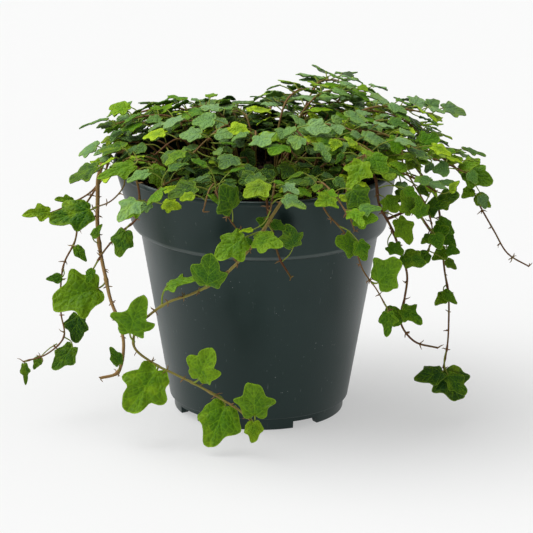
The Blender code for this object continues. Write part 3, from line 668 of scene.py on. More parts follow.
@dataclass
class Pot:
    """The nursery pot: foot, tapered body, lip, flared collar and thin rolled rim, all one moulding.

    Attributes:
        inside, rim, lip, foot, pad: Radius and height of the rings that the wall is turned through.
        shift, shift_from: How far the mouth is pressed sideways, and from which height.
        soil_surface, soil_edge, soil_gap: Rings on the potting mix, its height at the wall and its gap there.
        notch_size, notch_angles: How wide, deep and high the foot's notches are, and where, in degrees.
    """

    inside: tuple[Ring, ...] = ((0.0, 5.4), (35.0, 5.4), (49.4, 80.0), (53.2, 82.4), (58.8, 107.6))
    rim: tuple[Ring, ...] = ((59.3, 109.1), (60.3, 108.9), (60.6, 107.6), (60.0, 106.7))
    lip: tuple[Ring, ...] = ((54.7, 83.4), (54.1, 81.5), (51.0, 80.2))
    foot: tuple[Ring, ...] = ((38.0, 5.4), (36.3, 5.0), (36.0, 0.0), (32.6, 0.0), (32.4, 3.8))
    pad: tuple[Ring, ...] = ((9.2, 3.8), (9.0, 0.0), (0.0, 0.0))
    steps: int = 160
    rim_radius: float = 60.3
    rim_height: float = 109.1
    shift: float = -2.2
    shift_from: float = 76.0
    soil_surface: tuple[Ring, ...] = ((0.0, 101.6), (30.0, 101.0), (48.0, 99.6))
    soil_edge: float = 98.6
    soil_gap: float = 0.4
    notch_size: tuple[float, float, float] = (8.0, 12.4, 3.0)
    notch_angles: tuple[float, ...] = (-56.0, 34.0, 124.0, 214.0)
    drain_radius: float = 2.6
    drain_circle: float = 21.5
    drain_count: int = 6
    drain_sides: int = 24
    drain_middle: float = 5.0
    drain_cut: float = 8.0
    bevel: float = 0.28
    sharp_ring: float = 0.35
    sharp_face: float = math.radians(32)

    def mouth_shift(self, height: float) -> float:
        """How far the mouth is pressed sideways at a height."""
        return self.shift * max(0.0, (height - self.shift_from) / (self.rim_height - self.shift_from))

    @staticmethod
    def ring_radius(rings: Sequence[Ring], height: float) -> float:
        """Finds the radius at a height on a run of rings that goes steadily up or down.

        Args:
            rings: Radius and height of each ring.
            height: The height asked for.

        Returns:
            The radius there, or that of the nearer end.
        """
        for (radius_a, height_a), (radius_b, height_b) in pairwise(rings):
            if min(height_a, height_b) <= height <= max(height_a, height_b):
                share = (height - height_a) / (height_b - height_a)
                return radius_a + (radius_b - radius_a) * share
        return rings[0][0] if abs(height - rings[0][1]) < abs(height - rings[-1][1]) else rings[-1][0]

    def soil_height(self, radius: float) -> float:
        """Finds the height of the potting mix.

        Args:
            radius: The distance from the axis.

        Returns:
            The height there.
        """
        rings = (*self.soil_surface, (self.rim_radius, self.soil_edge))
        for (radius_a, height_a), (radius_b, height_b) in pairwise(rings):
            if radius <= radius_b:
                return height_a + (height_b - height_a) * (radius - radius_a) / (radius_b - radius_a)
        return self.soil_edge

    def clear(self, point: Vector, gap: float) -> bool:
        """Tells whether a point is clear of the pot and of the potting mix in it.

        Args:
            point: The point.
            gap: How far it has to be from them.

        Returns:
            True if it is outside the pot, above its rim, or above the potting mix.
        """
        if point.z > self.rim_height + gap:
            return True
        if point.z < gap:
            return False
        radius = math.hypot(point.x - self.mouth_shift(point.z), point.y)
        if radius > self.ring_radius((*self.rim, *self.lip, *self.foot[:3]), point.z) + gap:
            return True
        return radius < self.ring_radius(self.inside[1:], point.z) - gap and point.z > self.soil_height(radius) + gap

    def turned(self, rings: Sequence[Ring], rounded: bool) -> Shape:
        """Turns a profile round the axis and presses it sideways as the mouth is.

        Args:
            rings: Radius and height of each ring, from the axis and back to it.
            rounded: Whether its sharp ring edges are bevelled.

        Returns:
            The closed shape, in metres.
        """
        shape = bmesh.new()
        points = [shape.verts.new((radius * MM, 0.0, height * MM)) for radius, height in rings]
        edges = [shape.edges.new(pair) for pair in pairwise(points)]
        bmesh.ops.spin(shape, geom=points + edges, axis=UP, cent=(0, 0, 0), angle=math.tau, steps=self.steps,
                       use_merge=True)
        bmesh.ops.remove_doubles(shape, verts=shape.verts, dist=1e-6)
        bmesh.ops.recalc_face_normals(shape, faces=shape.faces)
        if rounded:
            sharp = [e for e in shape.edges if len(e.link_faces) == 2 and e.calc_face_angle() > self.sharp_ring]
            bmesh.ops.bevel(shape, geom=sharp, offset=self.bevel * MM, segments=2, profile=0.5, affect="EDGES",
                            material=-1)
        for vertex in shape.verts:
            vertex.co.x += self.mouth_shift(vertex.co.z / MM) * MM
        return shape

    def cutters(self) -> Shape:
        """Makes what is cut out of the foot and the floor: the notches and the drainage holes.

        Returns:
            The cutters as one shape, in metres.
        """
        shape = bmesh.new()
        across, deep, high = self.notch_size
        for degrees in self.notch_angles:
            turn = Matrix.Rotation(math.radians(degrees), 4, "Z") @ Matrix.Translation((self.foot[2][0] * MM, 0, 0))
            size = Matrix.Diagonal((across * MM, deep * MM, 2 * high * MM, 1.0))
            bmesh.ops.create_cube(shape, size=1.0, matrix=turn @ size)
        for number in range(self.drain_count):
            place = polar(self.drain_circle, math.tau * number / self.drain_count, self.drain_middle) * MM
            bmesh.ops.create_cone(shape, cap_ends=True, segments=self.drain_sides, radius1=self.drain_radius * MM,
                                  radius2=self.drain_radius * MM, depth=self.drain_cut * MM,
                                  matrix=Matrix.Translation(place))
        return shape

    def build(self, plastic: Material) -> Piece:
        """Builds the pot.

        Args:
            plastic: Its finish.

        Returns:
            The pot, which stands for its CAD node.
        """
        rings = (*self.inside, *self.rim, *self.lip, *self.foot, *self.pad)
        wall = new_object("pot_wall", self.turned(rings, True), ())
        tools = new_object("pot_cutters", self.cutters(), ())
        cut = wall.modifiers.new("Cut", "BOOLEAN")
        cut.operation, cut.object, cut.solver = "DIFFERENCE", tools, "EXACT"
        mesh = evaluated_mesh(wall)
        bpy.data.objects.remove(tools)
        mesh.materials.clear()
        mesh.materials.append(plastic)
        mesh.shade_smooth()
        mesh.set_sharp_from_angle(angle=self.sharp_face)
        pot = add_object("nursery_pot", mesh)
        place_piece(pot, "pot_plastic", "pot")
        return pot


@dataclass
class PottingMix:
    """The potting mix: its uneven body, and the crumbs, fibres and moss that lie on it.

    Attributes:
        lumps: How strong, how close and at which depth of the noise its two kinds of lumps are.
        mossy: The share of crumbs that are moss, and how green they are.
    """

    pot: Pot
    rough: float = 1.3
    lumps: tuple[Row, ...] = ((1.0, 0.16, 3.0), (0.5, 0.45, 9.0))
    rings: int = 30
    crumbs: int = 900
    seed: int = 21
    crumb_size: Ring = (0.35, 1.25)
    crumb_stretch: tuple[Ring, ...] = ((0.8, 2.2), (0.6, 1.1), (0.4, 0.9))
    crumb_raised: float = 0.25
    crumb_gap: float = 1.6
    crumb_level: float = 100.0
    mossy: Ring = (0.12, 0.8)

    def surface(self, x: float, y: float) -> float:
        """The height of the uneven surface at a place."""
        lumps = sum(strong * noise.noise(Vector((x, y, depth)) * close) for strong, close, depth in self.lumps)
        return self.pot.soil_height(math.hypot(x, y)) + self.rough * lumps

    def body(self, finish: Material) -> Piece:
        """Builds the body of the potting mix.

        Args:
            finish: Its finish.

        Returns:
            The body, which stands for its CAD node.
        """
        pot = self.pot
        edge = pot.ring_radius(pot.inside[1:], pot.soil_edge) - pot.soil_gap
        spaced = [edge * step / self.rings for step in range(self.rings + 1)]
        top = [(radius, pot.soil_height(radius)) for radius in spaced]
        inner = [(radius - pot.soil_gap, height) for radius, height in reversed(pot.inside[1:4])]
        inner[-1] = (inner[-1][0], inner[-1][1] + pot.soil_gap)
        shape = pot.turned((*top, *inner, (0.0, inner[-1][1])), False)
        for vertex in shape.verts:
            if vertex.co.z > (pot.soil_edge - 0.5) * MM:
                vertex.co.z = self.surface(vertex.co.x / MM, vertex.co.y / MM) * MM
        for face in shape.faces:
            face.smooth = True
        made = new_object("potting_mix_body", shape, [finish])
        place_piece(made, "potting_mix", "soil")
        return made

    def litter(self, finish: Material) -> Piece:
        """Scatters crumbs and fibres over the surface.

        Args:
            finish: Their finish, which reads each crumb's tint.

        Returns:
            The scattered crumbs as one piece.
        """
        draw = random.Random(self.seed)
        shape = bmesh.new()
        tints: list[Row] = []
        reach = self.pot.ring_radius(self.pot.inside[1:], self.pot.soil_edge) - self.crumb_gap
        for _ in range(self.crumbs):
            radius, angle = reach * math.sqrt(draw.random()), draw.uniform(0, math.tau)
            size = draw.uniform(*self.crumb_size)
            x, y = radius * math.cos(angle) + self.pot.mouth_shift(self.crumb_level), radius * math.sin(angle)
            place = Vector((x, y, self.surface(x, y) + size * self.crumb_raised))
            turn = Quaternion(any_way(draw), draw.uniform(0, 3)).normalized().to_matrix().to_4x4()
            stretch = Matrix.Diagonal((*(draw.uniform(*limits) for limits in self.crumb_stretch), 1))
            matrix = Matrix.Translation(place * MM) @ turn @ stretch
            crumb = bmesh.ops.create_icosphere(shape, subdivisions=1, radius=size * MM, matrix=matrix)["verts"]
            moss = self.mossy[1] if draw.random() < self.mossy[0] else 0.0
            tints.extend([(draw.random() ** 2, moss, 0.0)] * len(crumb))
        made = new_object("potting_mix_crumbs", shape, [finish])
        give_rows(made, TINT, tints)
        place_piece(made, "potting_mix")
        return made


class Leaf(NamedTuple):
    """One leaf: where its petiole leaves the stem, its blade's base and tip, its facing and its width."""

    node: Vector
    base: Vector
    tip: Vector
    normal: Vector
    width: float

    @property
    def length(self) -> float:
        """The length of its blade."""
        return (self.tip - self.base).length

    def axes(self) -> tuple[Vector, Vector]:
        """Its directions across and along its blade."""
        along = (self.tip - self.base).normalized()
        return along.cross(self.normal).normalized(), along


class Trail(NamedTuple):
    """A stem read off the photograph. Its route is pixel across, pixel down and millimetres behind the axis.

    Its root is in millimetres across and behind the axis, and rim is the angle at which it crosses the rim,
    if it does. A side shoot has no root and starts on the stem before it. Each leaf is the pixels of its base
    and tip, how much nearer its tip is, how far it faces up and not forward, and its width.
    """

    name: str
    root: tuple[float, ...]
    rim: float | None
    route: tuple[tuple[float, float, float], ...]
    leaves: tuple[tuple[float, ...], ...]


class Whorl(NamedTuple):
    """A ring of sprays: how many, where they stand, how high and far they arch, and their leaves' length and lean."""

    name: str
    count: int
    first: float
    root: float
    rise: float
    reach: float
    sink: float
    front: float
    right: float
    leaf: float
    lean: float


TRAILS = (
    Trail("left_woody_stem", (-47, -3), 183, (
        (98, 175, -6), (96.5, 205, -9), (97, 232, -12), (100, 254, -16), (106, 281, -24), (111, 302, -31),
        (119, 323, -37), (128, 339, -41), (124, 352, -44), (121, 366, -46), (118, 380, -47), (111, 386.5, -48),
        (102, 381, -49),
    ), (
        (99, 291, 51, 305, 4, 0.2, 1), (121, 367, 113, 350, 2, 0.2, 0.6), (92, 240, 101, 228, 2, 0.3, 0.6),
    )),
    Trail("front_vine", (14, -46), 284, (
        (279.5, 204, -64), (272, 214.7, -67), (265.6, 226.8, -69), (250, 248, -70), (233, 268, -68), (207, 288, -62),
        (182, 299.5, -58), (161, 307, -54), (153, 314.6, -52), (141, 328, -49), (129, 340, -47), (141, 354, -50),
        (153, 364, -53), (173, 374, -57), (197, 385, -61), (217, 396.6, -65), (229, 402, -67), (241, 410, -69),
        (253, 420.7, -71), (262, 429, -72),
    ), (
        (131, 336, 139, 299, 5, 0.2, 1.15), (159, 372, 131, 416, 6, 0.2, 0.95), (201, 380, 212, 351, 5, 0.3, 1),
        (228, 406, 211, 448, 5, 0.2, 0.95), (257.4, 416.7, 256.7, 384, 4, 0.2, 1), (256, 422, 258, 443, 3, 0.2, 0.9),
        (244, 238, 214, 257, 6, 0.4, 1), (254, 240, 282, 242, 5, 0.5, 1), (207, 286, 212, 256, 5, 0.2, 0.95),
        (167, 288, 196, 278, 8, 0.6, 0.75),
    )),
    Trail("front_dark_stem", (0, -45), 274, (
        (266, 206, -63), (268, 216, -62.5), (272, 232, -61), (276, 247, -60), (279, 256, -59), (280.5, 266, -58.5),
        (285, 273, -58.5), (291, 277, -59),
    ), (
        (293, 246, 288, 224, 4, 0.3, 0.9), (267, 225, 254, 216, 2, 0.3, 1), (271, 222, 285, 230, 2, 0.3, 0.8),
    )),
    Trail("front_feeder", (-17, -47), 254, (
        (223, 211, -65), (229.5, 220, -67), (237, 231, -68),
    ), (
        (231, 210, 219, 188, 2, 0.6, 1.5), (222, 207, 208, 196, 5, 0.7, 0.8),
    )),
    Trail("front_right_vine", (26, -41), 296, (
        (320, 205.5, -60), (335, 218, -62), (343, 231, -62), (353, 244, -61), (361, 265, -60), (370, 278, -59),
        (379, 290.6, -58), (388.6, 308, -57),
    ), (
        (357, 247, 336, 240, 5, 0.4, 1.1), (358, 240, 369, 263, 3, 0.3, 0.95), (389, 310, 390, 335, 3, 0.2, 0.95),
        (378, 281, 399, 259, 5, 0.3, 1),
    )),
    Trail("right_front_shoot", (35, -38), 309, (
        (346, 205, -56), (351.6, 217, -58), (354, 229.5, -59),
    ), (
        (350, 200, 369, 208, 5, 0.4, 1.1), (354, 218, 376, 216, 5, 0.4, 0.9),
    )),
    Trail("right_vine", (43, -22), 326, (
        (376, 197, -40), (386.6, 216.7, -42), (395, 236.6, -43), (405, 263, -43), (408, 281, -42), (404, 301, -41),
        (401, 318, -40), (409.6, 333, -39), (425, 344.5, -38), (439.4, 345, -37),
    ), (
        (397, 217, 413, 240, 4, 0.2, 0.8), (388, 244, 404, 250, 5, 0.4, 0.9), (404, 252, 424, 264, 5, 0.3, 0.9),
        (403, 306, 424, 320, 4, 0.3, 1), (384, 196, 398, 208, 5, 0.4, 1.1), (401, 312, 380, 318, 4, 0.3, 1),
    )),
    Trail("right_vine", (), None, (
        (386.6, 216.7, -42), (399, 213, -41), (411, 208, -40), (423, 217, -39), (429.5, 227, -38),
    ), (
        (411, 209, 400, 190, 3, 0.4, 0.9), (421, 214, 417, 192, 3, 0.4, 0.9),
    )),
    Trail("right_short_vine", (49, -10), 345, (
        (415, 186, -17), (424, 202, -19), (431, 218, -20), (432, 232, -21), (429, 246, -22), (424, 257, -22),
    ), (
        (431, 236, 448, 226, 4, 0.3, 1), (428, 250, 415, 262, 4, 0.3, 0.9), (426, 206, 447, 200, 5, 0.4, 1.1),
    )),
    Trail("right_drop_vine", (47, 0), 356, (
        (420, 172, -5), (436, 198, -8), (441, 230, -11), (443, 258, -13), (448, 284, -16), (450, 310, -18),
        (448, 336, -19), (450, 348, -20), (445, 365, -21),
    ), (
        (448, 291, 435, 301, 3, 0.2, 0.9), (444, 288, 457, 301, 3, 0.3, 0.7), (447, 367, 461, 398, 4, 0.2, 1.1),
        (444, 369, 418, 377, 5, 0.5, 0.9), (450, 372, 469, 390, 4, 0.4, 0.8), (443, 232, 456, 243, 3, 0.3, 1),
        (436, 200, 456, 190, 4, 0.5, 1),
    )),
    Trail("right_whip", (44, 9), 7, (
        (406, 146, 5), (424, 147, 4), (445, 158, 2), (461, 170.5, 0), (472.5, 191, -2), (484, 211, -3),
        (499, 236, -4), (508, 250, -5), (518, 260, -5), (529, 262, -5),
    ), (
        (464, 167, 490, 180, 5, 0.4, 1), (475, 192, 490, 202, 3, 0.3, 0.9), (458, 166, 478, 155, 3, 0.5, 0.8),
        (446, 158, 461, 154, 3, 0.5, 0.8), (428, 148, 449, 152, 4, 0.6, 0.9),
    )),
    Trail("left_dark_stem", (-40, -26), 214, (
        (138.5, 200, -40.5), (136, 220, -40), (127, 229, -39), (115.6, 239, -38), (104, 253.6, -38), (96.6, 265, -37),
        (92, 274, -37),
    ), (
        (125, 233, 118, 260, 3, 0.2, 0.8), (140, 210, 122, 219, 4, 0.5, 0.8), (93, 272, 86, 286, 2, 0.3, 0.7),
    )),
    Trail("left_front_shoot", (-44, -17), 204, (
        (123, 184, -30), (120, 197, -30), (110, 203.5, -28), (98.7, 208, -25), (92, 211, -23),
    ), (
        (89, 213, 48, 224, 7, 0.4, 0.8),
    )),
    Trail("left_thin_vine", (-50, 6), 174, (
        (105, 172, 4), (98.7, 186, 3), (91, 197, 2), (81, 212, 0), (76, 230, -3), (73.4, 250, -6), (64, 267, -9),
        (61, 292, -13), (60, 312, -17), (67, 328, -21), (64, 343, -24), (54, 356, -27), (40, 359, -29),
        (25, 366, -31),
    ), (
        (62, 281, 47, 283, 2, 0.3, 0.8), (79, 318, 75, 346, 4, 0.2, 0.9), (74, 350, 56, 374, 4, 0.2, 0.8),
        (42, 361, 35, 373, 2, 0.3, 0.8), (26, 368, 29, 389, 3, 0.2, 0.6), (75, 250, 87, 264, 3, 0.3, 0.7),
    )),
    Trail("left_upper_shoot", (-47, 17), 163, (
        (104, 173, 14), (94, 190, 10), (83, 201, 7), (70, 207, 4), (57, 213, 2), (47, 218, 1),
    ), (
        (49, 216, 21, 217, 4, 0.4, 0.85), (72, 204, 54, 202, 3, 0.5, 0.8),
    )),
    Trail("front_light_shoot", (30, -29), None, (
        (338, 176, -33), (350, 160, -41), (363, 153, -48),
    ), (
        (361, 160, 349, 189, 8, 0.5, 1.1), (369, 154, 384, 170, 6, 0.5, 1),
    )),
    Trail("left_light_shoot", (-33, -20), None, (
        (158, 168, -24), (146, 162, -28), (136, 162, -31),
    ), (
        (132, 167, 95, 180, 6, 0.6, 0.7), (150, 168, 163, 182, 6, 0.6, 0.9),
    )),
)

SEEN_LEAVES = (
    (144, 164, 126.5, 161, 1, 0.9, 0.9), (147, 174, 125, 182, 4, 0.8, 0.7), (151, 171, 163, 191, 3, 0.5, 0.8),
    (167, 171, 187, 164, 0, 0.85, 1.1), (163, 192, 180, 188, 1, 0.8, 0.9), (172, 196, 192, 197, 2, 0.4, 0.9),
    (205, 166, 190, 160, 2, 0.8, 1), (211, 158.5, 232, 163, 1, 1, 0.7), (230, 172, 207, 172.5, 5, 0.85, 1),
    (206, 178, 184, 185, 2, 0.95, 0.5), (253, 175, 238, 184, 3, 0.5, 1.2), (201, 185, 198, 195, 2, 0.4, 1.1),
    (184, 169, 196, 175, 1, 0.8, 0.6), (270, 184, 257, 187, 1, 0.8, 0.9), (272, 178, 260, 169, -1, 0.6, 1.1),
    (279, 190, 295, 186, 2, 0.8, 1), (291, 191, 267, 199, 2, 0.95, 0.45), (281, 163, 297, 170, 2, 0.9, 0.9),
    (296, 164, 314, 166, 0, 0.95, 0.9), (301, 172, 283, 179, 2, 0.9, 0.5), (313, 177, 297, 186, 3, 0.7, 1),
    (296, 189, 311, 195, 2, 0.8, 0.9), (321, 173, 333, 177, 2, 0.8, 0.8), (320, 185, 337, 186, 1, 0.8, 0.8),
    (321, 157, 334, 160, 1, 0.8, 0.9), (350, 188, 367, 206, 3, 0.3, 1.2), (150, 206, 132, 214, 2, 0.4, 0.8),
    (394, 137, 414, 142, 1, 0.9, 0.8), (430, 143, 450, 150, 2, 0.7, 0.9), (411, 154, 394, 156, 2, 0.7, 0.9),
    (405, 166, 388, 160, 1, 0.7, 1), (380, 164, 404, 173, 2, 0.9, 0.5), (447, 165, 431, 166, 2, 0.3, 1.2),
    (430, 160, 423, 170, 2, 0.5, 0.9), (445, 154, 461, 158, 1, 0.95, 0.6), (467, 156, 478, 157, 1, 0.9, 0.8),
    (468, 168, 476, 180, 2, 0.4, 1), (480, 191, 486, 205, 2, 0.4, 0.9), (424, 179, 446, 184, 2, 0.9, 0.8),
    (449, 188, 457, 178, 1, 0.6, 1), (471, 185, 461, 195, 2, 0.5, 1.1), (425, 181, 437, 193, 2, 0.6, 0.7),
    (417, 184, 429, 193, 2, 0.5, 0.8), (398, 187, 409, 204, 2, 0.4, 0.9), (404, 186, 419, 197, 2, 0.5, 1),
    (431, 234, 420, 239, 2, 0.4, 1), (434, 231, 440, 247, 3, 0.3, 1.1), (446, 247, 432, 257, 2, 0.4, 1),
    (447, 245, 459, 250, 2, 0.4, 1.2), (438, 217, 453, 231, 2, 0.3, 0.8),
)

SMALL_LEAVES = (
    (196, 148, 178, 151, 1, 0.9, 0.8), (143, 147, 133, 156, 1, 0.4, 0.9), (242, 151, 253, 166, 2, 0.5, 1),
    (291, 144, 277, 147, 1, 0.9, 0.7), (298, 144, 291, 158, 2, 0.6, 1), (341, 152, 333, 162, 2, 0.5, 0.6),
    (229, 172, 243, 168, 1, 0.9, 0.5), (252, 230, 238, 231, 2, 0.7, 0.6), (251, 244, 245, 237, 1, 0.5, 0.8),
    (166, 179, 160, 172, 1, 0.5, 0.9), (258, 189, 250, 193, 1, 0.6, 1.1), (265, 197, 257, 196, 1, 0.6, 1.1),
    (273, 181, 284, 182.5, 1, 0.9, 0.8), (313, 166, 320, 176, 2, 0.7, 0.9), (424, 201, 420, 211, 2, 0.4, 0.8),
    (446, 257, 457, 266, 1, 0.3, 0.8),
)

WHORLS = (
    Whorl("rim_spray", 14, -84, 41, 113.5, 67, 7.0, 2, 18, 12.0, 0.5),
    Whorl("middle_spray", 12, -70, 27, 124, 62, 5.0, -30, 16, 10.8, 0.3),
    Whorl("crown_spray", 9, -95, 13, 127.5, 44, 4.0, -18, 12, 10.4, 0.25),
)


def smooth_run(points: Sequence[Vector], step: float = 2.0) -> list[Vector]:
    """Draws the smooth curve through points.

    Args:
        points: The points, in order.
        step: How closely the curve is followed.

    Returns:
        Closely spaced points along it.
    """
    ends = [points[0] * 2 - points[1], *points, points[-1] * 2 - points[-2]]
    run = []
    for before, start, end, after in zip(ends, ends[1:], ends[2:], ends[3:]):
        pairs = ((before, start), (start, end), (end, after))
        first, middle, last = ((b - a).length ** 0.5 for a, b in pairs)
        leaving = (start - before) / first - (end - before) / (first + middle) + (end - start) / middle
        arriving = (end - start) / middle - (after - start) / (middle + last) + (after - end) / last
        steps = max(2, math.ceil((end - start).length / step))
        for t in (i / steps for i in range(steps)):
            run.append(start * (1 + 2 * t) * (1 - t) ** 2 + leaving * middle * t * (1 - t) ** 2
                       + end * t * t * (3 - 2 * t) + arriving * middle * t * t * (t - 1))
    return [*run, points[-1]]


def evenly(run: Sequence[Vector], step: float) -> list[Vector]:
    """Spaces points evenly along a run, with both its ends.

    Args:
        run: The points that it goes through.
        step: About how far apart the new points are.

    Returns:
        The evenly spaced points.
    """
    lengths = [0.0]
    for a, b in pairwise(run):
        lengths.append(lengths[-1] + (b - a).length)
    count = max(1, round(lengths[-1] / step))
    spaced = []
    at = 0
    for i in range(count + 1):
        wanted = lengths[-1] * i / count
        while at < len(run) - 2 and lengths[at + 1] < wanted:
            at += 1
        spaced.append(run[at].lerp(run[at + 1], (wanted - lengths[at]) / (lengths[at + 1] - lengths[at])))
    return spaced


def facing(target: Vector, along: Vector) -> Vector:
    """The direction nearest to the target that is square to a leaf's length."""
    return (target - along * target.dot(along)).normalized()


class Stem:
    """A stem: the points at which it carries leaves, closely spaced points along it, and its leaves."""

    radius = 0.72
    root_depth = 6.0
    root_stands = 1.6
    closeness = 2.0

    def __init__(self, name: str, route: Sequence[Vector], step: float = 11.0, rooted: bool = True) -> None:
        """Lays a stem along its route.

        Args:
            name: The CAD node that it belongs to.
            route: Points on it, from its root to its tip.
            step: How far apart its leaves stand.
            rooted: Whether it stands in the potting mix and not on another stem.
        """
        self.name = name
        self.rooted = rooted
        self.nodes = evenly(smooth_run(route), step)
        self.leaves: list[Leaf] = []
        self.line = [self.root_end(), *self.nodes] if rooted else list(self.nodes)
        self.fine = [p for ends in pairwise(self.line) for p in evenly(ends, self.closeness)]
        self.near = search_tree(self.fine)

    def root_end(self) -> Vector:
        """Its lower end, straight below its first node, in its hole."""
        first = self.nodes[0]
        return Vector((first.x, first.y, first.z - self.root_stands - self.root_depth))


class LeafSolid:
    """The plain shape of a leaf, as the CAD model has it, with which new leaves are kept apart.

    Attributes:
        small, large: Half of its outline, across and along, for a leaf of length 1.
        grown_by: How much larger than it is it counts in tests.
        petiole_tested: The share of a petiole, from its stem, that may touch anything.
    """

    small = ((0.33, 0.01), (0.49, 0.44), (0.24, 0.58), (0.0, 1.0))
    large = ((0.25, -0.05), (0.35, 0.17), (0.50, 0.40), (0.39, 0.54), (0.24, 0.57), (0.19, 0.80), (0.0, 1.0))
    large_from = 16.0
    neck = 0.06
    petiole_width = 0.9
    thickness = 0.64
    clearance = 0.36
    grown_by = 1.05
    sample_step = 1.5
    petiole_tested = 0.4

    @classmethod
    def outline(cls, leaf: Leaf) -> list[Vector]:
        """The blade's outline in its own plane, from one side of its neck round to the other."""
        half = cls.large if leaf.length > cls.large_from else cls.small
        right = [Vector((x * leaf.width * leaf.length, y * leaf.length)) for x, y in half]
        left = [Vector((-p.x, p.y)) for p in reversed(right[:-1])]
        neck = Vector((cls.petiole_width / 2, cls.neck * leaf.length))
        return [neck, *right, *left, Vector((-neck.x, neck.y))]

    @classmethod
    def edge(cls, leaf: Leaf) -> list[Vector]:
        """The blade's outline in its place."""
        across, along = leaf.axes()
        return [leaf.base + across * p.x + along * p.y for p in cls.outline(leaf)]

    @classmethod
    def span(cls, leaf: Leaf) -> tuple[Vector, float]:
        """The middle of a leaf with its petiole, and the furthest that it reaches from there."""
        middle = (leaf.node + leaf.tip) / 2
        furthest = max((p - middle).length for p in (leaf.node, *cls.edge(leaf)))
        return middle, cls.grown_by * furthest + cls.thickness

    @classmethod
    def samples(cls, leaf: Leaf) -> list[Vector]:
        """Closely spaced points on a leaf's outline, its midrib and its petiole."""
        petiole = (leaf.node.lerp(leaf.base, cls.petiole_tested), leaf.base)
        lines = [*pairwise(cls.edge(leaf)), (leaf.base, leaf.tip), petiole]
        return [p for ends in lines for p in evenly(ends, cls.sample_step)]

    @classmethod
    def tree(cls, leaf: Leaf, grown: float, with_petiole: bool) -> BVHTree:
        """Makes a leaf's thickened shape, for tests against other pieces.

        Args:
            leaf: The leaf.
            grown: How much thicker than the leaf it is on each side.
            with_petiole: Whether the petiole is part of it.

        Returns:
            The shape's search tree.
        """
        across, along = leaf.axes()
        shell = bmesh.new()
        scale = cls.grown_by if grown else 1.0
        places = [leaf.base + (across * p.x + along * p.y) * scale for p in cls.outline(leaf)]
        outline = [shell.verts.new(place) for place in places]
        faces = [shell.faces.new(outline)]
        if with_petiole:
            beside = (leaf.base - leaf.node).cross(leaf.normal).normalized() * cls.petiole_width / 2
            ends = [shell.verts.new(leaf.node + beside * side) for side in (-1, 1)]
            faces.append(shell.faces.new((outline[-1], *ends, outline[0])))
        half = leaf.normal * (cls.thickness / 2 + grown)
        bmesh.ops.translate(shell, verts=shell.verts, vec=half)
        raised = bmesh.ops.extrude_face_region(shell, geom=faces)["geom"]
        bmesh.ops.translate(shell, verts=[v for v in raised if isinstance(v, bmesh.types.BMVert)], vec=-2 * half)
        bmesh.ops.recalc_face_normals(shell, faces=shell.faces)
        made = BVHTree.FromBMesh(shell)
        shell.free()
        return made


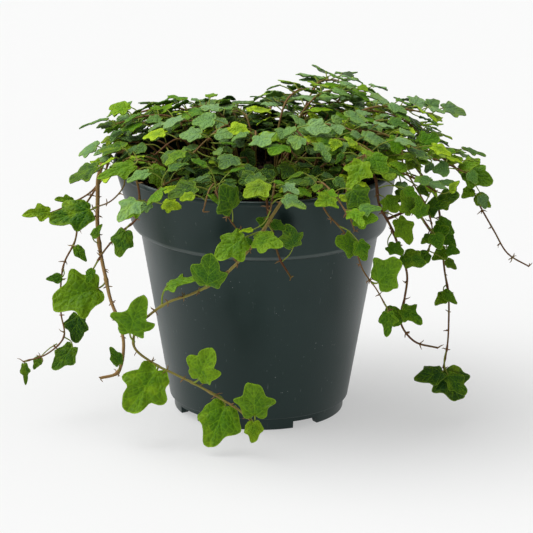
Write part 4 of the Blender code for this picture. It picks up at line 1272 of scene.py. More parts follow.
class Growth:
    """The plant as it grows: each new stem and leaf is kept clear of the pot and of those before it.

    It grows the stems and leaves of the CAD model first, with the same draws, and then fills the canopy.

    Attributes:
        steepest_petiole, sharpest_turn: Cosines that bound a petiole's angle to its blade.
        steep_cost, bend_cost: What a petiole's angles cost, in millimetres of its length.
        read_tries: How much nearer and how long a leaf that was read is tried.
        spray_tries: How far turned, how high and how long a spray's leaf is tried.
        hollows: The pixels between which the canopy is hollow: left, top, right and bottom.
        hollow_from, further_hollow_from: How far behind the axis that holds, at first and for further leaves.
        back_drops, back_width: Where sprays hang down behind, in degrees.
        twig_reaches: The least and the most that a twig reaches out, and the most towards the right.
    """

    steepest_petiole = 0.8
    sharpest_turn = 0.15
    first_point = 6
    nodes_tried = 10
    stems_tried = 4
    seen_near = 12.0
    steep_cost = 7.0
    bend_cost = 3.0
    read_tries = ((2.0, 1.0), (3.5, 1.0), (5.0, 1.0), (3.0, 0.9), (0.5, 1.0), (6.5, 0.9), (-1.5, 0.9), (-3.5, 0.9),
                  (4.5, 0.8), (8.0, 0.8))
    spray_tries = ((0.0, 2.0, 1.0), (0.3, 3.5, 1.0), (-0.3, 1.0, 1.0), (0.5, 0.0, 0.9), (-0.5, 4.5, 0.9),
                   (0.2, -2.0, 0.9), (0.8, 2.0, 0.85), (-0.8, 2.0, 0.85), (2.2, 2.0, 0.85))
    stem_gap = 0.5
    rim_arch = 5.0
    root_arch = 4.0
    root_lean = 0.55
    spray_seed = 7
    spray_step = 12.5
    spray_places = 20
    spray_turn = 0.1
    spray_sway = 0.12
    reach_varies = 3.0
    rise_varies = 2.0
    leafy_from = 0.25
    leaf_turn = (0.8, 1.2)
    leaf_length = (0.85, 1.15)
    leaf_petiole = (3.5, 6.0)
    leaf_tilt = (-0.35, 0.35)
    crown_peak = math.radians(35)
    crown_rise = 6.0
    dip_at = 97.0
    dip_width = 13.0
    dip_depth = 10.0
    hollows = ((222, 144, 310, 169), (128, 137, 216, 158))
    hollow_from = -38.0
    further_hollow_from = -62.0
    bare_width = 36.0
    bare_from = -54.0
    bare_top = 112.0
    back_drops = {"rim_spray": (60, 95, 130)}
    back_width = 14.0
    back_drop = 46.0
    fill_tries = 8
    fill_shrink = 0.05
    fill_from = 0.18
    fill_spacing = 1
    fill_turn = (0.4, 2.2)
    fill_length = (0.62, 1.02)
    fill_petiole = (2.5, 7.0)
    fill_tilt = (-0.5, 0.5)
    fill_lift = (-3.0, 4.0)
    fill_rise = (-0.45, 0.12)
    fill_width = (0.9, 1.1)
    twig_ways = (0.0, 0.0, 3.0, 1.5)
    twig_spread = 1.1
    twig_roots = (8.0, 42.0)
    twig_reaches = (52.0, 66.0, 84.0)
    twig_rises = (112.0, 126.0)
    twig_sinks = (3.0, 14.0)
    twig_radius = 0.35
    twig_whorl = WHORLS[1]

    def __init__(self, pot: Pot) -> None:
        """Starts with an empty pot."""
        self.pot = pot
        self.stems: list[Stem] = []
        self.blades: list[tuple[Vector, float, BVHTree]] = []
        self.sprays: list[tuple[Whorl, Stem]] = []

    def over_rim(self, angle: float) -> Vector:
        """The point at which a stem arches over the rim."""
        across, behind = self.pot.rim_radius * math.cos(angle), self.pot.rim_radius * math.sin(angle)
        return Vector((self.pot.shift + across, behind, self.pot.rim_height + self.rim_arch))

    def stays_bare(self, leaf: Leaf) -> bool:
        """Tells whether a leaf would be where none grows.

        Args:
            leaf: The leaf.

        Returns:
            True if it would fill a hollow of the canopy, or hang before the bare front of the pot.
        """
        middle = (leaf.base + leaf.tip) / 2
        if abs(middle.x) < self.bare_width and middle.y < self.bare_from and middle.z < self.bare_top:
            return True
        x, y = VIEW.pixel_of(middle)
        return middle.y > self.hollow_from and any(a < x < c and b < y < d for a, b, c, d in self.hollows)

    def stem_fits(self, stem: Stem) -> bool:
        """Tells whether a new stem has room.

        Args:
            stem: The stem.

        Returns:
            True if it keeps clear of the pot and of the stems and leaves before it.
        """
        above = [p for p in stem.fine if p.z > stem.nodes[0].z - stem.root_stands] if stem.rooted else stem.fine
        if not all(self.pot.clear(p, stem.radius + LeafSolid.clearance) for p in above[2:]):
            return False
        for other in self.stems:
            limit = stem.radius + other.radius + LeafSolid.clearance + self.stem_gap
            if other.name != stem.name and any(other.near.find(p)[2] < limit for p in stem.fine):
                return False
        for centre, extent, tree in self.blades:
            for point, _, _ in stem.near.find_range(centre, extent + stem.radius):
                if tree.find_nearest(point, stem.radius + 2 * LeafSolid.clearance)[0]:
                    return False
        return True

    def leaf_fits(self, leaf: Leaf, stem: Stem, clearance: float) -> bool:
        """Tells whether a new leaf has room.

        Args:
            leaf: The leaf.
            stem: The stem that it grows on, which only its blade keeps clear of.
            clearance: How far it stays from the other pieces.

        Returns:
            True if it keeps clear of the pot, the stems and the leaves before it.
        """
        axis = leaf.tip - leaf.base
        petiole = leaf.base - leaf.node
        if abs(petiole.normalized().dot(leaf.normal)) > self.steepest_petiole:
            return False
        if petiole.dot(axis) < self.sharpest_turn * petiole.length * axis.length:
            return False
        if not all(self.pot.clear(p, LeafSolid.thickness) for p in LeafSolid.samples(leaf)):
            return False
        middle, reach = LeafSolid.span(leaf)
        whole = LeafSolid.tree(leaf, clearance, True)
        for centre, extent, tree in self.blades:
            if (centre - middle).length < extent + reach and tree.overlap(whole):
                return False
        blade = LeafSolid.tree(leaf, clearance, False)
        for other in self.stems:
            tree = blade if other.name == stem.name else whole
            for point, _, _ in other.near.find_range(middle, reach + other.radius):
                if tree.find_nearest(point, other.radius + clearance)[0]:
                    return False
        return True

    def add_leaf(self, stem: Stem, tries: Iterator[Leaf], clearance: float = LeafSolid.clearance) -> bool:
        """Grows the first of several leaves that has room.

        Args:
            stem: The stem that it grows on.
            tries: The leaves to try, the best first.
            clearance: How far the leaf stays from other pieces.

        Returns:
            True if a leaf was grown.
        """
        for leaf in tries:
            if self.leaf_fits(leaf, stem, clearance):
                stem.leaves.append(leaf)
                self.blades.append((*LeafSolid.span(leaf), LeafSolid.tree(leaf, 0.0, True)))
                return True
        return False

    def read_leaf(self, nodes: Sequence[Vector], row: Sequence[float]) -> Iterator[Leaf]:
        """Lists the ways to grow a leaf that was read off the photograph, the closest to it first.

        Args:
            nodes: The points of its stem that it may grow at.
            row: The leaf's row in its trail.

        Yields:
            The leaves to try.
        """
        base_x, base_y, tip_x, tip_y, nearer, up, width = row
        for closer, share in self.read_tries:
            ranked = []
            for node in nodes:
                base = VIEW.at_depth((base_x, base_y), node.y - closer)
                tip = VIEW.at_depth((tip_x, tip_y), node.y - closer - nearer)
                along = (tip - base).normalized()
                normal = facing(-VIEW.sight * (1 - up) + UP * up, along)
                petiole = base - node
                steep = abs(petiole.normalized().dot(normal)) if petiole.length else 1.0
                bend = 1 - petiole.normalized().dot(along)
                cost = petiole.length + self.steep_cost * steep + self.bend_cost * bend
                ranked.append((cost, len(ranked), node, base, tip, normal))
            for _, _, node, base, tip, normal in sorted(ranked)[:self.nodes_tried]:
                yield Leaf(node, base, base.lerp(tip, share), normal, width)

    def grow_trails(self) -> None:
        """Grows the stems that were read off the photograph, then their leaves."""
        for trail in TRAILS:
            route = [VIEW.at_depth(point[:2], point[2]) for point in trail.route]
            if trail.rim is not None:
                route.insert(0, self.over_rim(math.radians(trail.rim)))
            if trail.root:
                ground = self.pot.soil_height(math.hypot(*trail.root)) + Stem.root_stands
                root = Vector((*trail.root, ground))
                route = [root, root.lerp(route[0], self.root_lean) + UP * self.root_arch, *route]
            self.stems.append(Stem(trail.name, route, rooted=bool(trail.root)))
        for trail, stem in zip(TRAILS, self.stems):
            for row in trail.leaves:
                self.add_leaf(stem, self.read_leaf(stem.fine[self.first_point:], row))

    def near_sight(self, stem: Stem, row: Sequence[float]) -> list[Vector]:
        """Finds the part of a stem that may carry a leaf that was seen.

        Args:
            stem: The stem.
            row: The leaf's row.

        Returns:
            The points of the stem that lie near the line of sight to the leaf's base.
        """
        eye, way = VIEW.ray(row[:2])
        way = way.normalized()
        leafy = stem.fine[self.first_point:]
        return [p for p in leafy if (p - eye - way * (p - eye).dot(way)).length < self.seen_near]

    def grow_seen(self, rows: Sequence[Sequence[float]]) -> None:
        """Grows the leaves that were read without their stem, on the stems that pass nearest.

        Args:
            rows: A row for each leaf.
        """
        for row in rows:
            ranked = []
            for number, stem in enumerate(self.stems):
                nodes = self.near_sight(stem, row)
                if nodes:
                    ranked.append((min(node.y for node in nodes), number, stem, nodes))
            for _, _, stem, nodes in sorted(ranked)[:self.stems_tried]:
                if self.add_leaf(stem, self.read_leaf(nodes, row)):
                    break

    def spray_route(self, whorl: Whorl, angle: float, draw: random.Random) -> list[Vector]:
        """Draws the route of a spray: up from its root, over in an arch and outwards.

        Args:
            whorl: The ring of sprays that it belongs to.
            angle: The direction in which it grows.
            draw: What its variation is drawn from.

        Returns:
            Points on its route.
        """
        right, front = max(0.0, math.cos(angle)), max(0.0, -math.sin(angle))
        reach = whorl.reach + whorl.right * right + whorl.front * front
        reach += draw.uniform(-self.reach_varies, self.reach_varies)
        rise = whorl.rise + draw.uniform(-self.rise_varies, self.rise_varies)
        if whorl.name != "rim_spray":
            rise += self.crown_rise * max(0.0, math.cos(angle - self.crown_peak)) ** 2
            off = (math.degrees(angle) - self.dip_at + 180) % 360 - 180
            rise -= self.dip_depth * math.exp(-(off / self.dip_width) ** 2)
        ground = self.pot.soil_height(whorl.root) + Stem.root_stands
        sway = draw.uniform(-self.spray_sway, self.spray_sway)
        marks = [
            (0.0, ground),
            (0.10, ground + (rise - ground) * 0.62),
            (0.38, rise),
            (0.72, rise - whorl.sink * 0.3),
            (1.0, rise - whorl.sink),
        ]
        drops = self.back_drops.get(whorl.name, ())
        if any(abs(math.degrees(angle) % 360 - drop) < self.back_width for drop in drops):
            marks += [(1.12, rise - self.back_drop * 0.5), (1.16, rise - self.back_drop)]
        return [polar(whorl.root + (reach - whorl.root) * share, angle + sway * share, height)
                for share, height in marks]

    def spray_leaf(self, stem: Stem, index: int, whorl: Whorl, draw: random.Random) -> Iterator[Leaf]:
        """Lists the ways to grow a spray's leaf: to one side in turn, or ahead at the spray's end.

        Args:
            stem: The spray.
            index: The node that the leaf grows at.
            whorl: The spray's ring.
            draw: What the leaf's variation is drawn from.

        Yields:
            The leaves to try.
        """
        node = stem.nodes[index]
        last = index == len(stem.nodes) - 1
        heading = (stem.nodes[min(index + 1, len(stem.nodes) - 1)] - stem.nodes[index - 1]).normalized()
        side = 0.0 if last else (1 if index % 2 else -1) * draw.uniform(*self.leaf_turn)
        length = whorl.leaf * draw.uniform(*self.leaf_length)
        petiole = draw.uniform(*self.leaf_petiole)
        tilt = draw.uniform(*self.leaf_tilt)
        for turn, lift, share in self.spray_tries:
            way = Matrix.Rotation(side + turn, 3, "Z") @ level(heading)
            base = node + way * petiole + UP * lift
            along = (way + UP * (0.35 * heading.z - 0.22 + 0.3 * tilt)).normalized()
            normal = facing(UP + level(node) * whorl.lean + way.cross(UP) * tilt, along)
            leaf = Leaf(node, base, base + along * length * share, normal, 0.92 + 0.07 * (index * 5 % 4))
            if not self.stays_bare(leaf):
                yield leaf

    def grow_sprays(self) -> None:
        """Grows the rings of sprays: all their stems first, then the leaves seen on them, then the rest."""
        draw = random.Random(self.spray_seed)
        for whorl in WHORLS:
            for number in range(whorl.count):
                angle = math.radians(whorl.first) + math.tau * number / whorl.count
                for _ in range(self.spray_places):
                    turned = angle + draw.uniform(-self.spray_turn, self.spray_turn)
                    route = self.spray_route(whorl, turned, draw)
                    stem = Stem(f"{whorl.name}_{number + 1:02d}", route, self.spray_step)
                    if self.stem_fits(stem):
                        self.stems.append(stem)
                        self.sprays.append((whorl, stem))
                        break
        self.grow_seen(SEEN_LEAVES)
        for whorl, stem in self.sprays:
            first = max(1, round(len(stem.nodes) * self.leafy_from))
            for index in range(first, len(stem.nodes)):
                self.add_leaf(stem, self.spray_leaf(stem, index, whorl, draw))

    def fill_leaf(self, stem: Stem, index: int, size: float, lean: float, draw: random.Random) -> Iterator[Leaf]:
        """Lists the ways to grow one of the canopy's many further leaves.

        Args:
            stem: Its stem.
            index: The close point on the stem that it grows at.
            size: The length of the largest.
            lean: How far it leans outwards.
            draw: What its variation is drawn from.

        Yields:
            The leaves to try.
        """
        node = stem.fine[index]
        ahead = stem.fine[min(index + 2, len(stem.fine) - 1)] - stem.fine[max(index - 2, 0)]
        for attempt in range(self.fill_tries):
            shrink = 1.0 - self.fill_shrink * attempt
            turn = draw.choice((-1, 1)) * draw.uniform(*self.fill_turn)
            length = draw.uniform(*self.fill_length) * size * shrink
            petiole = draw.uniform(*self.fill_petiole)
            tilt = draw.uniform(*self.fill_tilt)
            way = Matrix.Rotation(turn, 3, "Z") @ level(ahead.normalized())
            base = node + way * petiole + UP * draw.uniform(*self.fill_lift)
            along = (way + UP * draw.uniform(*self.fill_rise)).normalized()
            normal = facing(UP + level(node) * lean + way.cross(UP) * tilt, along)
            leaf = Leaf(node, base, base + along * length, normal, draw.uniform(*self.fill_width))
            if not self.stays_bare(leaf):
                yield leaf

    def twig_route(self, draw: random.Random) -> list[Vector]:
        """Draws the route of a thin twig, which arches up through the canopy and out over the rim.

        Args:
            draw: What it is drawn from.

        Returns:
            Points on it.
        """
        angle = draw.choice(self.twig_ways) + draw.uniform(-self.twig_spread, self.twig_spread)
        root = draw.uniform(*self.twig_roots)
        least, most, rightmost = self.twig_reaches
        reach = draw.uniform(least, rightmost if math.cos(angle) > 0.5 else most)
        rise = draw.uniform(*self.twig_rises)
        end = rise - draw.uniform(*self.twig_sinks)
        marks = ((0.0, 101.5), (0.12, 109.0), (0.45, rise), (0.8, rise - 2), (1.0, end))
        route = []
        for share, height in marks:
            turned = angle + draw.uniform(-0.22, 0.22) * (0.3 + share)
            route.append(polar(root + (reach - root) * share, turned, height))
        return route

    def grow_twigs(self, count: int, draw: random.Random) -> list[Stem]:
        """Grows thin bare twigs.

        Args:
            count: How many are tried.
            draw: What their routes are drawn from.

        Returns:
            Those that have room.
        """
        twigs = []
        for _ in range(count):
            twig = Stem(TWIGS, self.twig_route(draw), self.spray_step)
            twig.radius = self.twig_radius
            if self.stem_fits(twig):
                self.stems.append(twig)
                twigs.append(twig)
        LOG.info("%d twigs", len(twigs))
        return twigs

    def fill_canopy(self, seed: int, twigs: int, clearance: float) -> int:
        """Grows thin twigs, and further leaves between those that the CAD model has.

        From then on the hollows of the canopy are kept free further to the front.

        Args:
            seed: What their places are drawn from.
            twigs: How many twigs are tried.
            clearance: How far the leaves stay from other pieces.

        Returns:
            How many leaves were grown.
        """
        self.hollow_from = self.further_hollow_from
        fine = self.grow_twigs(twigs, random.Random(seed))
        draw = random.Random(seed)
        grown = 0
        for whorl, stem in [*self.sprays, *((self.twig_whorl, twig) for twig in fine)]:
            first = int(len(stem.fine) * self.fill_from) + draw.randrange(self.fill_spacing)
            for index in range(first, len(stem.fine), self.fill_spacing):
                grown += self.add_leaf(stem, self.fill_leaf(stem, index, whorl.leaf, whorl.lean, draw), clearance)
        return grown


class LeafForm(Enum):
    """Half of each leaf outline, from the petiole round to the tip, across and along, for a leaf of length 1."""

    FIVE_LOBED = ((0.0, 0.02), (0.08, -0.05), (0.19, -0.075), (0.29, -0.02), (0.335, 0.08), (0.33, 0.17),
                  (0.42, 0.27), (0.505, 0.37), (0.515, 0.46), (0.45, 0.53), (0.35, 0.565), (0.285, 0.61),
                  (0.27, 0.70), (0.22, 0.84), (0.13, 0.96), (0.0, 1.0))
    THREE_LOBED = ((0.0, 0.02), (0.10, -0.05), (0.24, -0.06), (0.36, 0.03), (0.43, 0.17), (0.50, 0.32),
                   (0.53, 0.43), (0.48, 0.52), (0.39, 0.56), (0.30, 0.60), (0.27, 0.69), (0.22, 0.84),
                   (0.13, 0.96), (0.0, 1.0))
    ARROW = ((0.0, 0.02), (0.09, -0.05), (0.20, -0.04), (0.27, 0.05), (0.27, 0.15), (0.36, 0.24), (0.44, 0.33),
             (0.43, 0.41), (0.33, 0.45), (0.22, 0.50), (0.19, 0.62), (0.17, 0.78), (0.10, 0.93), (0.0, 1.0))
    YOUNG = ((0.0, 0.0), (0.12, -0.04), (0.27, 0.0), (0.38, 0.12), (0.44, 0.28), (0.46, 0.42), (0.38, 0.50),
             (0.30, 0.57), (0.25, 0.70), (0.17, 0.86), (0.09, 0.96), (0.0, 1.0))


@dataclass
class BladeMaker:
    """Makes leaf blades: closed thin shells with rings of points, shaped once for each form and then placed.

    Attributes:
        centre: The point of the blade that its rings run round.
        coarse, fine: How many points an outline has on each side of the midrib.
    """

    centre: Ring = (0.0, 0.34)
    thickness: float = 0.42
    closeness: float = 0.02
    coarse: int = 15
    fine: int = 28
    coarse_rings: tuple[float, ...] = (0.58,)
    fine_rings: tuple[float, ...] = (0.84, 0.60, 0.30)
    shells: dict[tuple[LeafForm, int], tuple[Mesh, KDTree]] = field(default_factory=dict)

    def shell(self, form: LeafForm, points: int) -> tuple[Mesh, KDTree]:
        """Makes a blade of length 1, flat, with its upper side at height 1 and its lower side at -1.

        Args:
            form: Its outline.
            points: How many points its outline has on each side of the midrib.

        Returns:
            The mesh and its outline, which are kept for the next leaf of that form.
        """
        key = (form, points)
        if key in self.shells:
            return self.shells[key]
        run = smooth_run([Vector((x, y, 0)) for x, y in form.value], self.closeness)
        total = sum((b - a).length for a, b in pairwise(run))
        half = evenly(run, total / points)
        outline = [*half[:-1], *(Vector((-p.x, p.y, 0)) for p in reversed(half[1:]))]
        shape = bmesh.new()
        ring = bmesh.ops.create_circle(shape, cap_ends=False, segments=len(outline), radius=1.0)["verts"]
        for vertex, place in zip(ring, outline):
            vertex.co = (place.x, place.y, 1.0)
        edges = list(shape.edges)
        middle = Vector((*self.centre, 1.0))
        reached = 1.0
        for share in self.fine_rings if points == self.fine else self.coarse_rings:
            made = bmesh.ops.extrude_edge_only(shape, edges=edges)["geom"]
            fresh = [v for v in made if isinstance(v, bmesh.types.BMVert)]
            edges = [e for e in made if isinstance(e, bmesh.types.BMEdge) and all(v in fresh for v in e.verts)]
            for vertex in fresh:
                vertex.co = middle + (vertex.co - middle) * (share / reached)
            reached = share
        cap = bmesh.ops.edgeloop_fill(shape, edges=edges)["faces"]
        hub = bmesh.ops.poke(shape, faces=cap)["verts"]
        for vertex in hub:
            vertex.co = middle
        bmesh.ops.recalc_face_normals(shape, faces=shape.faces)
        if sum(f.normal.z for f in shape.faces) < 0:
            bmesh.ops.reverse_faces(shape, faces=shape.faces)
        lower = bmesh.ops.duplicate(shape, geom=shape.verts[:] + shape.edges[:] + shape.faces[:])["geom"]
        bmesh.ops.reverse_faces(shape, faces=[f for f in lower if isinstance(f, bmesh.types.BMFace)])
        for vertex in lower:
            if isinstance(vertex, bmesh.types.BMVert):
                vertex.co.z = -1.0
        bmesh.ops.bridge_loops(shape, edges=[e for e in shape.edges if e.is_boundary])
        bmesh.ops.recalc_face_normals(shape, faces=shape.faces)
        mesh = bpy.data.meshes.new(f"blade_{form.name.lower()}")
        shape.to_mesh(mesh)
        shape.free()
        self.shells[key] = mesh, search_tree([Vector((v.co.x, v.co.y, 0)) for v in mesh.vertices[:2 * points]])
        return self.shells[key]

    def margin_share(self, place: Vector, outline: KDTree) -> float:
        """Finds how far a point is from the blade's middle to its margin.

        Args:
            place: The point.
            outline: The blade's outline.

        Returns:
            The share of the way, from 0 to 1.
        """
        away = (Vector((place.x, place.y)) - Vector(self.centre)).length
        rest = outline.find((place.x, place.y, 0.0))[2]
        return away / (away + rest) if away + rest else 0.0


@dataclass
class Foliage:
    """The leafy stems: their fine stems, petioles, stipules and blades, one piece for each CAD node.

    Attributes:
        woody: How brown and how pale each stem is, and its radius. Others are thin and brown.
        tones: How fresh each leaf of a trailing stem was seen to be, or below 0 how dark.
        large_from: The length from which such a leaf has a fine blade, and any leaf a thick petiole.
        bends: The least and the most of a leaf's fold, arch, curl, twist, waves, their phase, skew and lobes.
    """

    growth: Growth
    blades: BladeMaker
    seed: int = 5
    woody: dict[str, tuple[float, float, float]] = field(default_factory=lambda: {
        "left_woody_stem": (1.0, 0.75, 1.0),
        "front_vine": (0.60, 0.50, 0.68),
        "front_dark_stem": (1.0, 0.0, 0.6),
        "left_thin_vine": (1.0, 0.25, 0.50),
        "left_dark_stem": (1.0, 0.05, 0.55),
        "left_upper_shoot": (1.0, 0.3, 0.5),
        "right_whip": (1.0, 0.15, 0.52),
        "right_drop_vine": (1.0, 0.15, 0.55),
        "right_vine": (1.0, 0.05, 0.62),
    })
    tones: dict[str, tuple[float, ...]] = field(default_factory=lambda: {
        "front_vine": (0.25, 0.38, 0.55, 0.25, 0.30, 1.0, 0.35, 0.45, -0.35, 0.40),
        "left_woody_stem": (0.45, -0.2, 0.3),
        "left_upper_shoot": (0.95, 0.3),
        "left_front_shoot": (-0.45,),
        "left_thin_vine": (-0.1, -0.6, -0.5, -0.3, -0.4, 0.1),
        "front_right_vine": (0.3, 0.0, -0.1, 0.3),
        "right_vine": (0.6, 0.1, -0.2, -0.1, 0.5, 0.0),
        "right_drop_vine": (0.6, 0.2, -0.75, -0.7, -0.5, -0.1, -0.5),
        "right_short_vine": (-0.1, -0.3, -0.6),
        "right_whip": (0.2, 0.5, 0.6, 0.7, 0.6),
        "left_light_shoot": (0.35, 0.3),
        "front_light_shoot": (0.75, 0.15),
    })
    young_below: float = 8.0
    large_from: float = 14.0
    bends: tuple[Ring, ...] = ((0.10, 0.24), (0.08, 0.22), (0.30, 0.62), (-0.16, 0.16), (0.008, 0.030),
                               (0.0, math.tau), (-0.10, 0.10), (0.0, 0.08))
    petiole_radii: Ring = (0.25, 0.38)
    scale_spacing: float = 8.0
    scale_reach: Ring = (1.2, 2.9)
    scale_radii: Row = (0.30, 0.22, 0.06)
    closeness: float = 1.5
    dry: Row = (1.0, 0.35, 0.0)
    tender: Row = (0.10, 0.3, 0.0)
    # Painted shade: canopy leaves within this radius and below this height are made darker, fading over this depth.
    shade_radius: float = 62.0
    shade_height: float = 128.0
    shade_depth: float = 9.0
    # Painted light: leaves above this height are made less dark and more often take the cool tint, as painted sheen.
    crown_height: float = 121.0
    crown_depth: float = 8.0
    sharp_face: float = math.radians(55)

    @staticmethod
    def tube(runs: Sequence[Tube], sides: int) -> Mesh:
        """Makes closed round tubes along runs of points.

        Args:
            runs: The points and the radius at each, in millimetres.
            sides: The curve's bevel resolution.

        Returns:
            The tubes as one mesh, in metres.
        """
        curve = bpy.data.curves.new("tube", "CURVE")
        curve.dimensions = "3D"
        curve.bevel_depth = MM
        curve.bevel_resolution = sides
        curve.use_fill_caps = True
        for points, radii in runs:
            spline = curve.splines.new("POLY")
            spline.points.add(len(points) - 1)
            for target, point, radius in zip(spline.points, points, radii):
                target.co = (*(point * MM), 1)
                target.radius = radius
        return evaluated_mesh(add_object("tube", curve))

    @staticmethod
    def add(shape: Shape, mesh: Mesh, finish: int) -> list[bmesh.types.BMVert]:
        """Adds a mesh to a shape.

        Args:
            shape: The piece in the making.
            mesh: What is added.
            finish: The number of its finish.

        Returns:
            The new points.
        """
        points, faces = len(shape.verts), len(shape.faces)
        shape.from_mesh(mesh)
        shape.verts.ensure_lookup_table()
        shape.faces.ensure_lookup_table()
        for face in shape.faces[faces:]:
            face.material_index = finish
            face.smooth = True
        return shape.verts[points:]

    def petiole(self, leaf: Leaf) -> Tube:
        """Draws a petiole, which leaves its stem and bends into its blade.

        Args:
            leaf: Its leaf.

        Returns:
            Its run and its radii.
        """
        _, along = leaf.axes()
        reach = (leaf.base - leaf.node).length
        bend = leaf.base - along * reach * 0.3 - leaf.normal * reach * 0.08
        run = smooth_run([leaf.node, leaf.node.lerp(bend, 0.6), leaf.base, leaf.base + along * leaf.length * 0.04], 1.2)
        thick = self.petiole_radii[leaf.length >= self.large_from]
        return run, [thick * (1.15 - 0.3 * i / len(run)) for i in range(len(run))]

    def stipules(self, stem: Stem, radius: float, draw: random.Random) -> list[Tube]:
        """The small dry scales and short roots at a stem's nodes.

        Args:
            stem: The stem.
            radius: Its radius.
            draw: What their directions are drawn from.

        Returns:
            The run and the radii of each scale.
        """
        trailing = "spray" not in stem.name and stem.name != TWIGS
        spots = stem.nodes[2:]
        if trailing and spots:
            spots = evenly(smooth_run(stem.nodes[1:], self.closeness), self.scale_spacing)
        scales = []
        for index, spot in enumerate(spots):
            if not trailing and draw.random() < 0.5:
                continue
            ahead = (spots[min(index + 1, len(spots) - 1)] - spots[max(index - 1, 0)]).normalized()
            for _ in range(draw.randint(2, 4) if trailing else 2):
                beside = ahead.cross(any_way(draw)).normalized()
                reach = draw.uniform(*self.scale_reach)
                way = (beside + ahead * draw.uniform(-0.5, 0.8)).normalized()
                start = spot + beside * radius * 0.4
                bent = start + way * reach * 0.6 + beside * 0.15
                end = start + way * reach + ahead * draw.uniform(-0.6, 0.6)
                scales.append(([start, bent, end], [*self.scale_radii]))
        return scales

    def lay_blade(self, points: Sequence[bmesh.types.BMVert], leaf: Leaf, outline: KDTree,
                  draw: random.Random) -> list[Row]:
        """Bends a flat blade and sets it in its place.

        Args:
            points: Its points, in the plane of a leaf of length 1.
            leaf: Where it goes.
            outline: Its outline, for the margin.
            draw: What its bend is drawn from.

        Returns:
            For each point its place across and along the blade, and its share of the way to the margin, which
            is below 0 on the underside.
        """
        across, along = leaf.axes()
        fold, arch, curl, twist, waves, phase, skew, lobed = (draw.uniform(*limits) for limits in self.bends)
        places = []
        for vertex in points:
            u, v, side = vertex.co
            share = self.blades.margin_share(vertex.co, outline)
            turn = math.atan2(v - self.blades.centre[1], u)
            height = (fold * abs(u) - curl * u * u - arch * max(0.0, v - 0.2) ** 2 + twist * u * v
                      + share * share * waves * (math.sin(5 * turn + phase) + 0.7 * math.sin(9 * turn + 2 * phase))
                      - 0.03 * (v < 0) * (share > 0.5))
            notched = 1 + share ** 3 * (0.028 * math.sin(7 * turn + 3 * phase) + 0.024 * math.sin(11 * turn + phase))
            u, v = u * notched, self.blades.centre[1] + (v - self.blades.centre[1]) * notched
            x = (u + skew * v * v) * leaf.width * (1 + lobed * math.sin(3 * turn + phase))
            offset = leaf.normal * (height * leaf.length + side * self.blades.thickness / 2)
            vertex.co = (leaf.base + (across * x + along * v) * leaf.length + offset) * MM
            places.append((u, v, math.copysign(max(share, 0.02), side)))
        return places

    def build_one(self, name: str, stems: Sequence[Stem], finishes: Sequence[Material]) -> Piece:
        """Builds the fine piece for one leafy stem.

        Args:
            name: Its CAD node.
            stems: Its stem and side shoots.
            finishes: The skins of shoots and of leaves.

        Returns:
            The piece.
        """
        draw = random.Random(f"{self.seed} {name}")
        woody, pale, radius = self.woody.get(name, (0.9, draw.uniform(0.1, 0.5), 0.44))
        spray = "spray" in name or name == TWIGS
        tones = self.tones.get(name, ())
        shape = bmesh.new()
        tints: list[Row] = []
        places: list[Row] = []
        for stem in stems:
            line = smooth_run(stem.line, self.closeness)
            thick = self.stem_radii(stem, line, radius)
            scales = self.stipules(stem, radius, draw)
            petioles = [self.petiole(leaf) for leaf in stem.leaves]
            for tubes, sides, tint in (([(line, thick)], 2, (woody, pale, 0.0)), (scales, 0, self.dry),
                                       (petioles, 1, self.tender)):
                if tubes:
                    new = self.add(shape, self.tube(tubes, sides), 0)
                    tints.extend([tint] * len(new))
                    places.extend([(0.0, 0.0, 0.0)] * len(new))
            for index, leaf in enumerate(stem.leaves):
                large = leaf.length > self.large_from and not spray
                form = self.pick_form(leaf, draw)
                mesh, outline = self.blades.shell(form, self.blades.fine if large else self.blades.coarse)
                new = self.add(shape, mesh, 1)
                places.extend(self.lay_blade(new, leaf, outline, draw))
                tints.extend([self.leaf_tint(leaf, spray, tones[index:index + 1], draw)] * len(new))
        made = new_object(name if name == TWIGS else f"{name}_foliage", shape, finishes)
        give_rows(made, TINT, tints)
        give_rows(made, PLACE, places)
        made.data.set_sharp_from_angle(angle=self.sharp_face)
        place_piece(made, "leaf_green", *(() if name == TWIGS else (name,)))
        return made

    @staticmethod
    def stem_radii(stem: Stem, line: Sequence[Vector], radius: float) -> list[float]:
        """The radius at each point of a stem, which tapers and is thicker at its nodes.

        Args:
            stem: The stem.
            line: The points.
            radius: Its radius near its root.

        Returns:
            The radii.
        """
        far_off = stem.line[0] - UP * 99
        nodes = search_tree([*(leaf.node for leaf in stem.leaves), far_off])
        radii = []
        for i, point in enumerate(line):
            taper = 1.1 - 0.45 * i / len(line)
            knot = 0.35 * math.exp(-(nodes.find(point)[2] / 1.1) ** 2)
            radii.append(radius * (taper + knot))
        return radii

    def pick_form(self, leaf: Leaf, draw: random.Random) -> LeafForm:
        """Picks the outline of a leaf.

        Args:
            leaf: The leaf. Small ones are less lobed.
            draw: What the form of the others is drawn from.

        Returns:
            The form of its outline.
        """
        if leaf.length < self.young_below:
            return LeafForm.YOUNG
        return draw.choice((LeafForm.FIVE_LOBED, LeafForm.FIVE_LOBED, LeafForm.THREE_LOBED, LeafForm.ARROW))

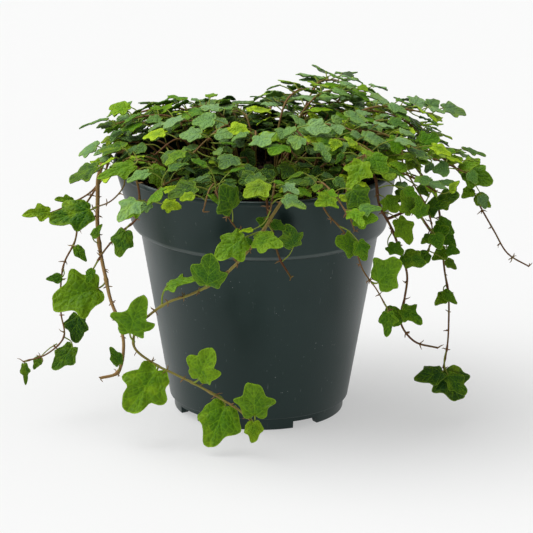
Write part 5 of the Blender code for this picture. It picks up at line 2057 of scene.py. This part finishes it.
    def leaf_tint(self, leaf: Leaf, spray: bool, tone: Sequence[float], draw: random.Random) -> Row:
        """Draws a leaf's colour.

        Args:
            leaf: The leaf. The low ones inside the canopy are made dark as painted shade, and the high ones lighter as
                painted light and sheen.
            spray: Whether it grows in the canopy and not on a trailing stem.
            tone: How fresh it was seen to be, or below 0 how dark, if it was read.
            draw: What the rest is drawn from.

        Returns:
            How fresh it is, or below 0 how cool, how dark it is with painted shade, and its chance of yellow patches.
        """
        fresh = draw.random()
        if tone:
            darkness = 0.28 + 0.65 * max(0.0, -tone[0]) + 0.15 * draw.random()
            return max(0.0, tone[0]) * 0.42, darkness, draw.random()
        if not spray:
            return max(0.0, fresh - 0.6) * 0.7, 0.15 + draw.random() * 0.65, draw.random()
        middle = (leaf.base + leaf.tip) / 2
        # Painted shade: canopy leaves low down and near the axis are made darker.
        inside = bounded((self.shade_radius - math.hypot(middle.x, middle.y)) / self.shade_depth)
        low = bounded((self.shade_height - middle.z) / self.shade_depth) * inside
        # Painted light and sheen: leaves high on the crown are made less dark and more often take the cool tint.
        high = bounded((middle.z - self.crown_height) / self.crown_depth)
        cool = 0.40 + 0.42 * low + 0.30 * high
        freshness = -draw.random() ** 0.6 if fresh < cool else ((fresh - cool) / (1 - cool)) ** 1.3
        dark = draw.random() ** 1.5 * (1.0 - 0.85 * high)
        return freshness, max(dark, low * draw.uniform(0.75, 1.0)), draw.random()

    def build(self, finishes: Sequence[Material]) -> None:
        """Builds the fine piece of each leafy stem, with the skins of shoots and of leaves."""
        for name in dict.fromkeys(stem.name for stem in self.growth.stems):
            self.build_one(name, [stem for stem in self.growth.stems if stem.name == name], finishes)


class Glow(NamedTuple):
    """A broad soft light round the studio: where it stands, its strength, and the cosines between which it fades."""

    way: Colour
    strength: float
    fades_from: float
    fades_to: float


@dataclass(frozen=True)
class Studio:
    """The pale floor, and the soft light of a tent that is brightest above and at the left."""

    floor_size: float = 30.0
    base: float = 0.42
    glows: tuple[Glow, ...] = (
        Glow((-0.45, 0.15, 1.0), 3.2, 0.78, 0.99),
        Glow((-1.0, 0.10, 0.30), 1.30, 0.55, 0.95),
        Glow((0.3, -1.0, 0.35), -0.15, 0.30, 0.95),
        Glow((1.0, 0.45, 0.30), 0.20, 0.60, 0.95),
    )

    def sky(self) -> bpy.types.World:
        """Makes the light all round.

        Returns:
            The world that gives it.
        """
        world = bpy.data.worlds.new("studio")
        world.use_nodes = True
        graph = NodeGraph(world.node_tree)
        way = graph.node("TexCoord", {}).outputs["Generated"]
        total: Value = self.base
        for glow in self.glows:
            inputs = {0: way, 1: Vector(glow.way).normalized()}
            toward = graph.node("VectorMath", inputs, operation="DOT_PRODUCT").outputs["Value"]
            total = graph.plus(graph.span(toward, glow.fades_from, glow.fades_to, 0.0, glow.strength), total)
        background = world.node_tree.nodes["Background"]
        graph.feed(background.inputs["Strength"], total)
        graph.feed(background.inputs["Color"], WHITE)
        return world

    def build(self) -> None:
        """Sets up the studio."""
        shape = bmesh.new()
        bmesh.ops.create_grid(shape, x_segments=4, y_segments=4, size=self.floor_size / 2)
        floor = new_object("studio_floor", shape, [FloorFinish().material()])
        bpy.context.scene.world = self.sky()
        bpy.context.scene.view_settings.view_transform = "Standard"


def main() -> None:
    """Builds the studio, the pot, its potting mix and the plant."""
    logging.basicConfig(level=logging.INFO, format="%(message)s")
    VIEW.make_camera()
    Studio().build()
    pot = Pot()
    pot.build(PotPlastic().material())
    mix = PottingMix(pot)
    mix.body(PottingMixFinish().material())
    mix.litter(CrumbFinish().material())
    growth = Growth(pot)
    growth.grow_trails()
    growth.grow_sprays()
    kept = sum(len(stem.leaves) for stem in growth.stems)
    growth.grow_seen(SMALL_LEAVES)
    further = growth.fill_canopy(seed=11, twigs=90, clearance=0.1)
    LOG.info("%d leaves of the CAD model, %d further leaves", kept, further)
    Foliage(growth, BladeMaker()).build([ShootFinish().material(), LeafFinish().material()])


if __name__ == "__main__":
    main()
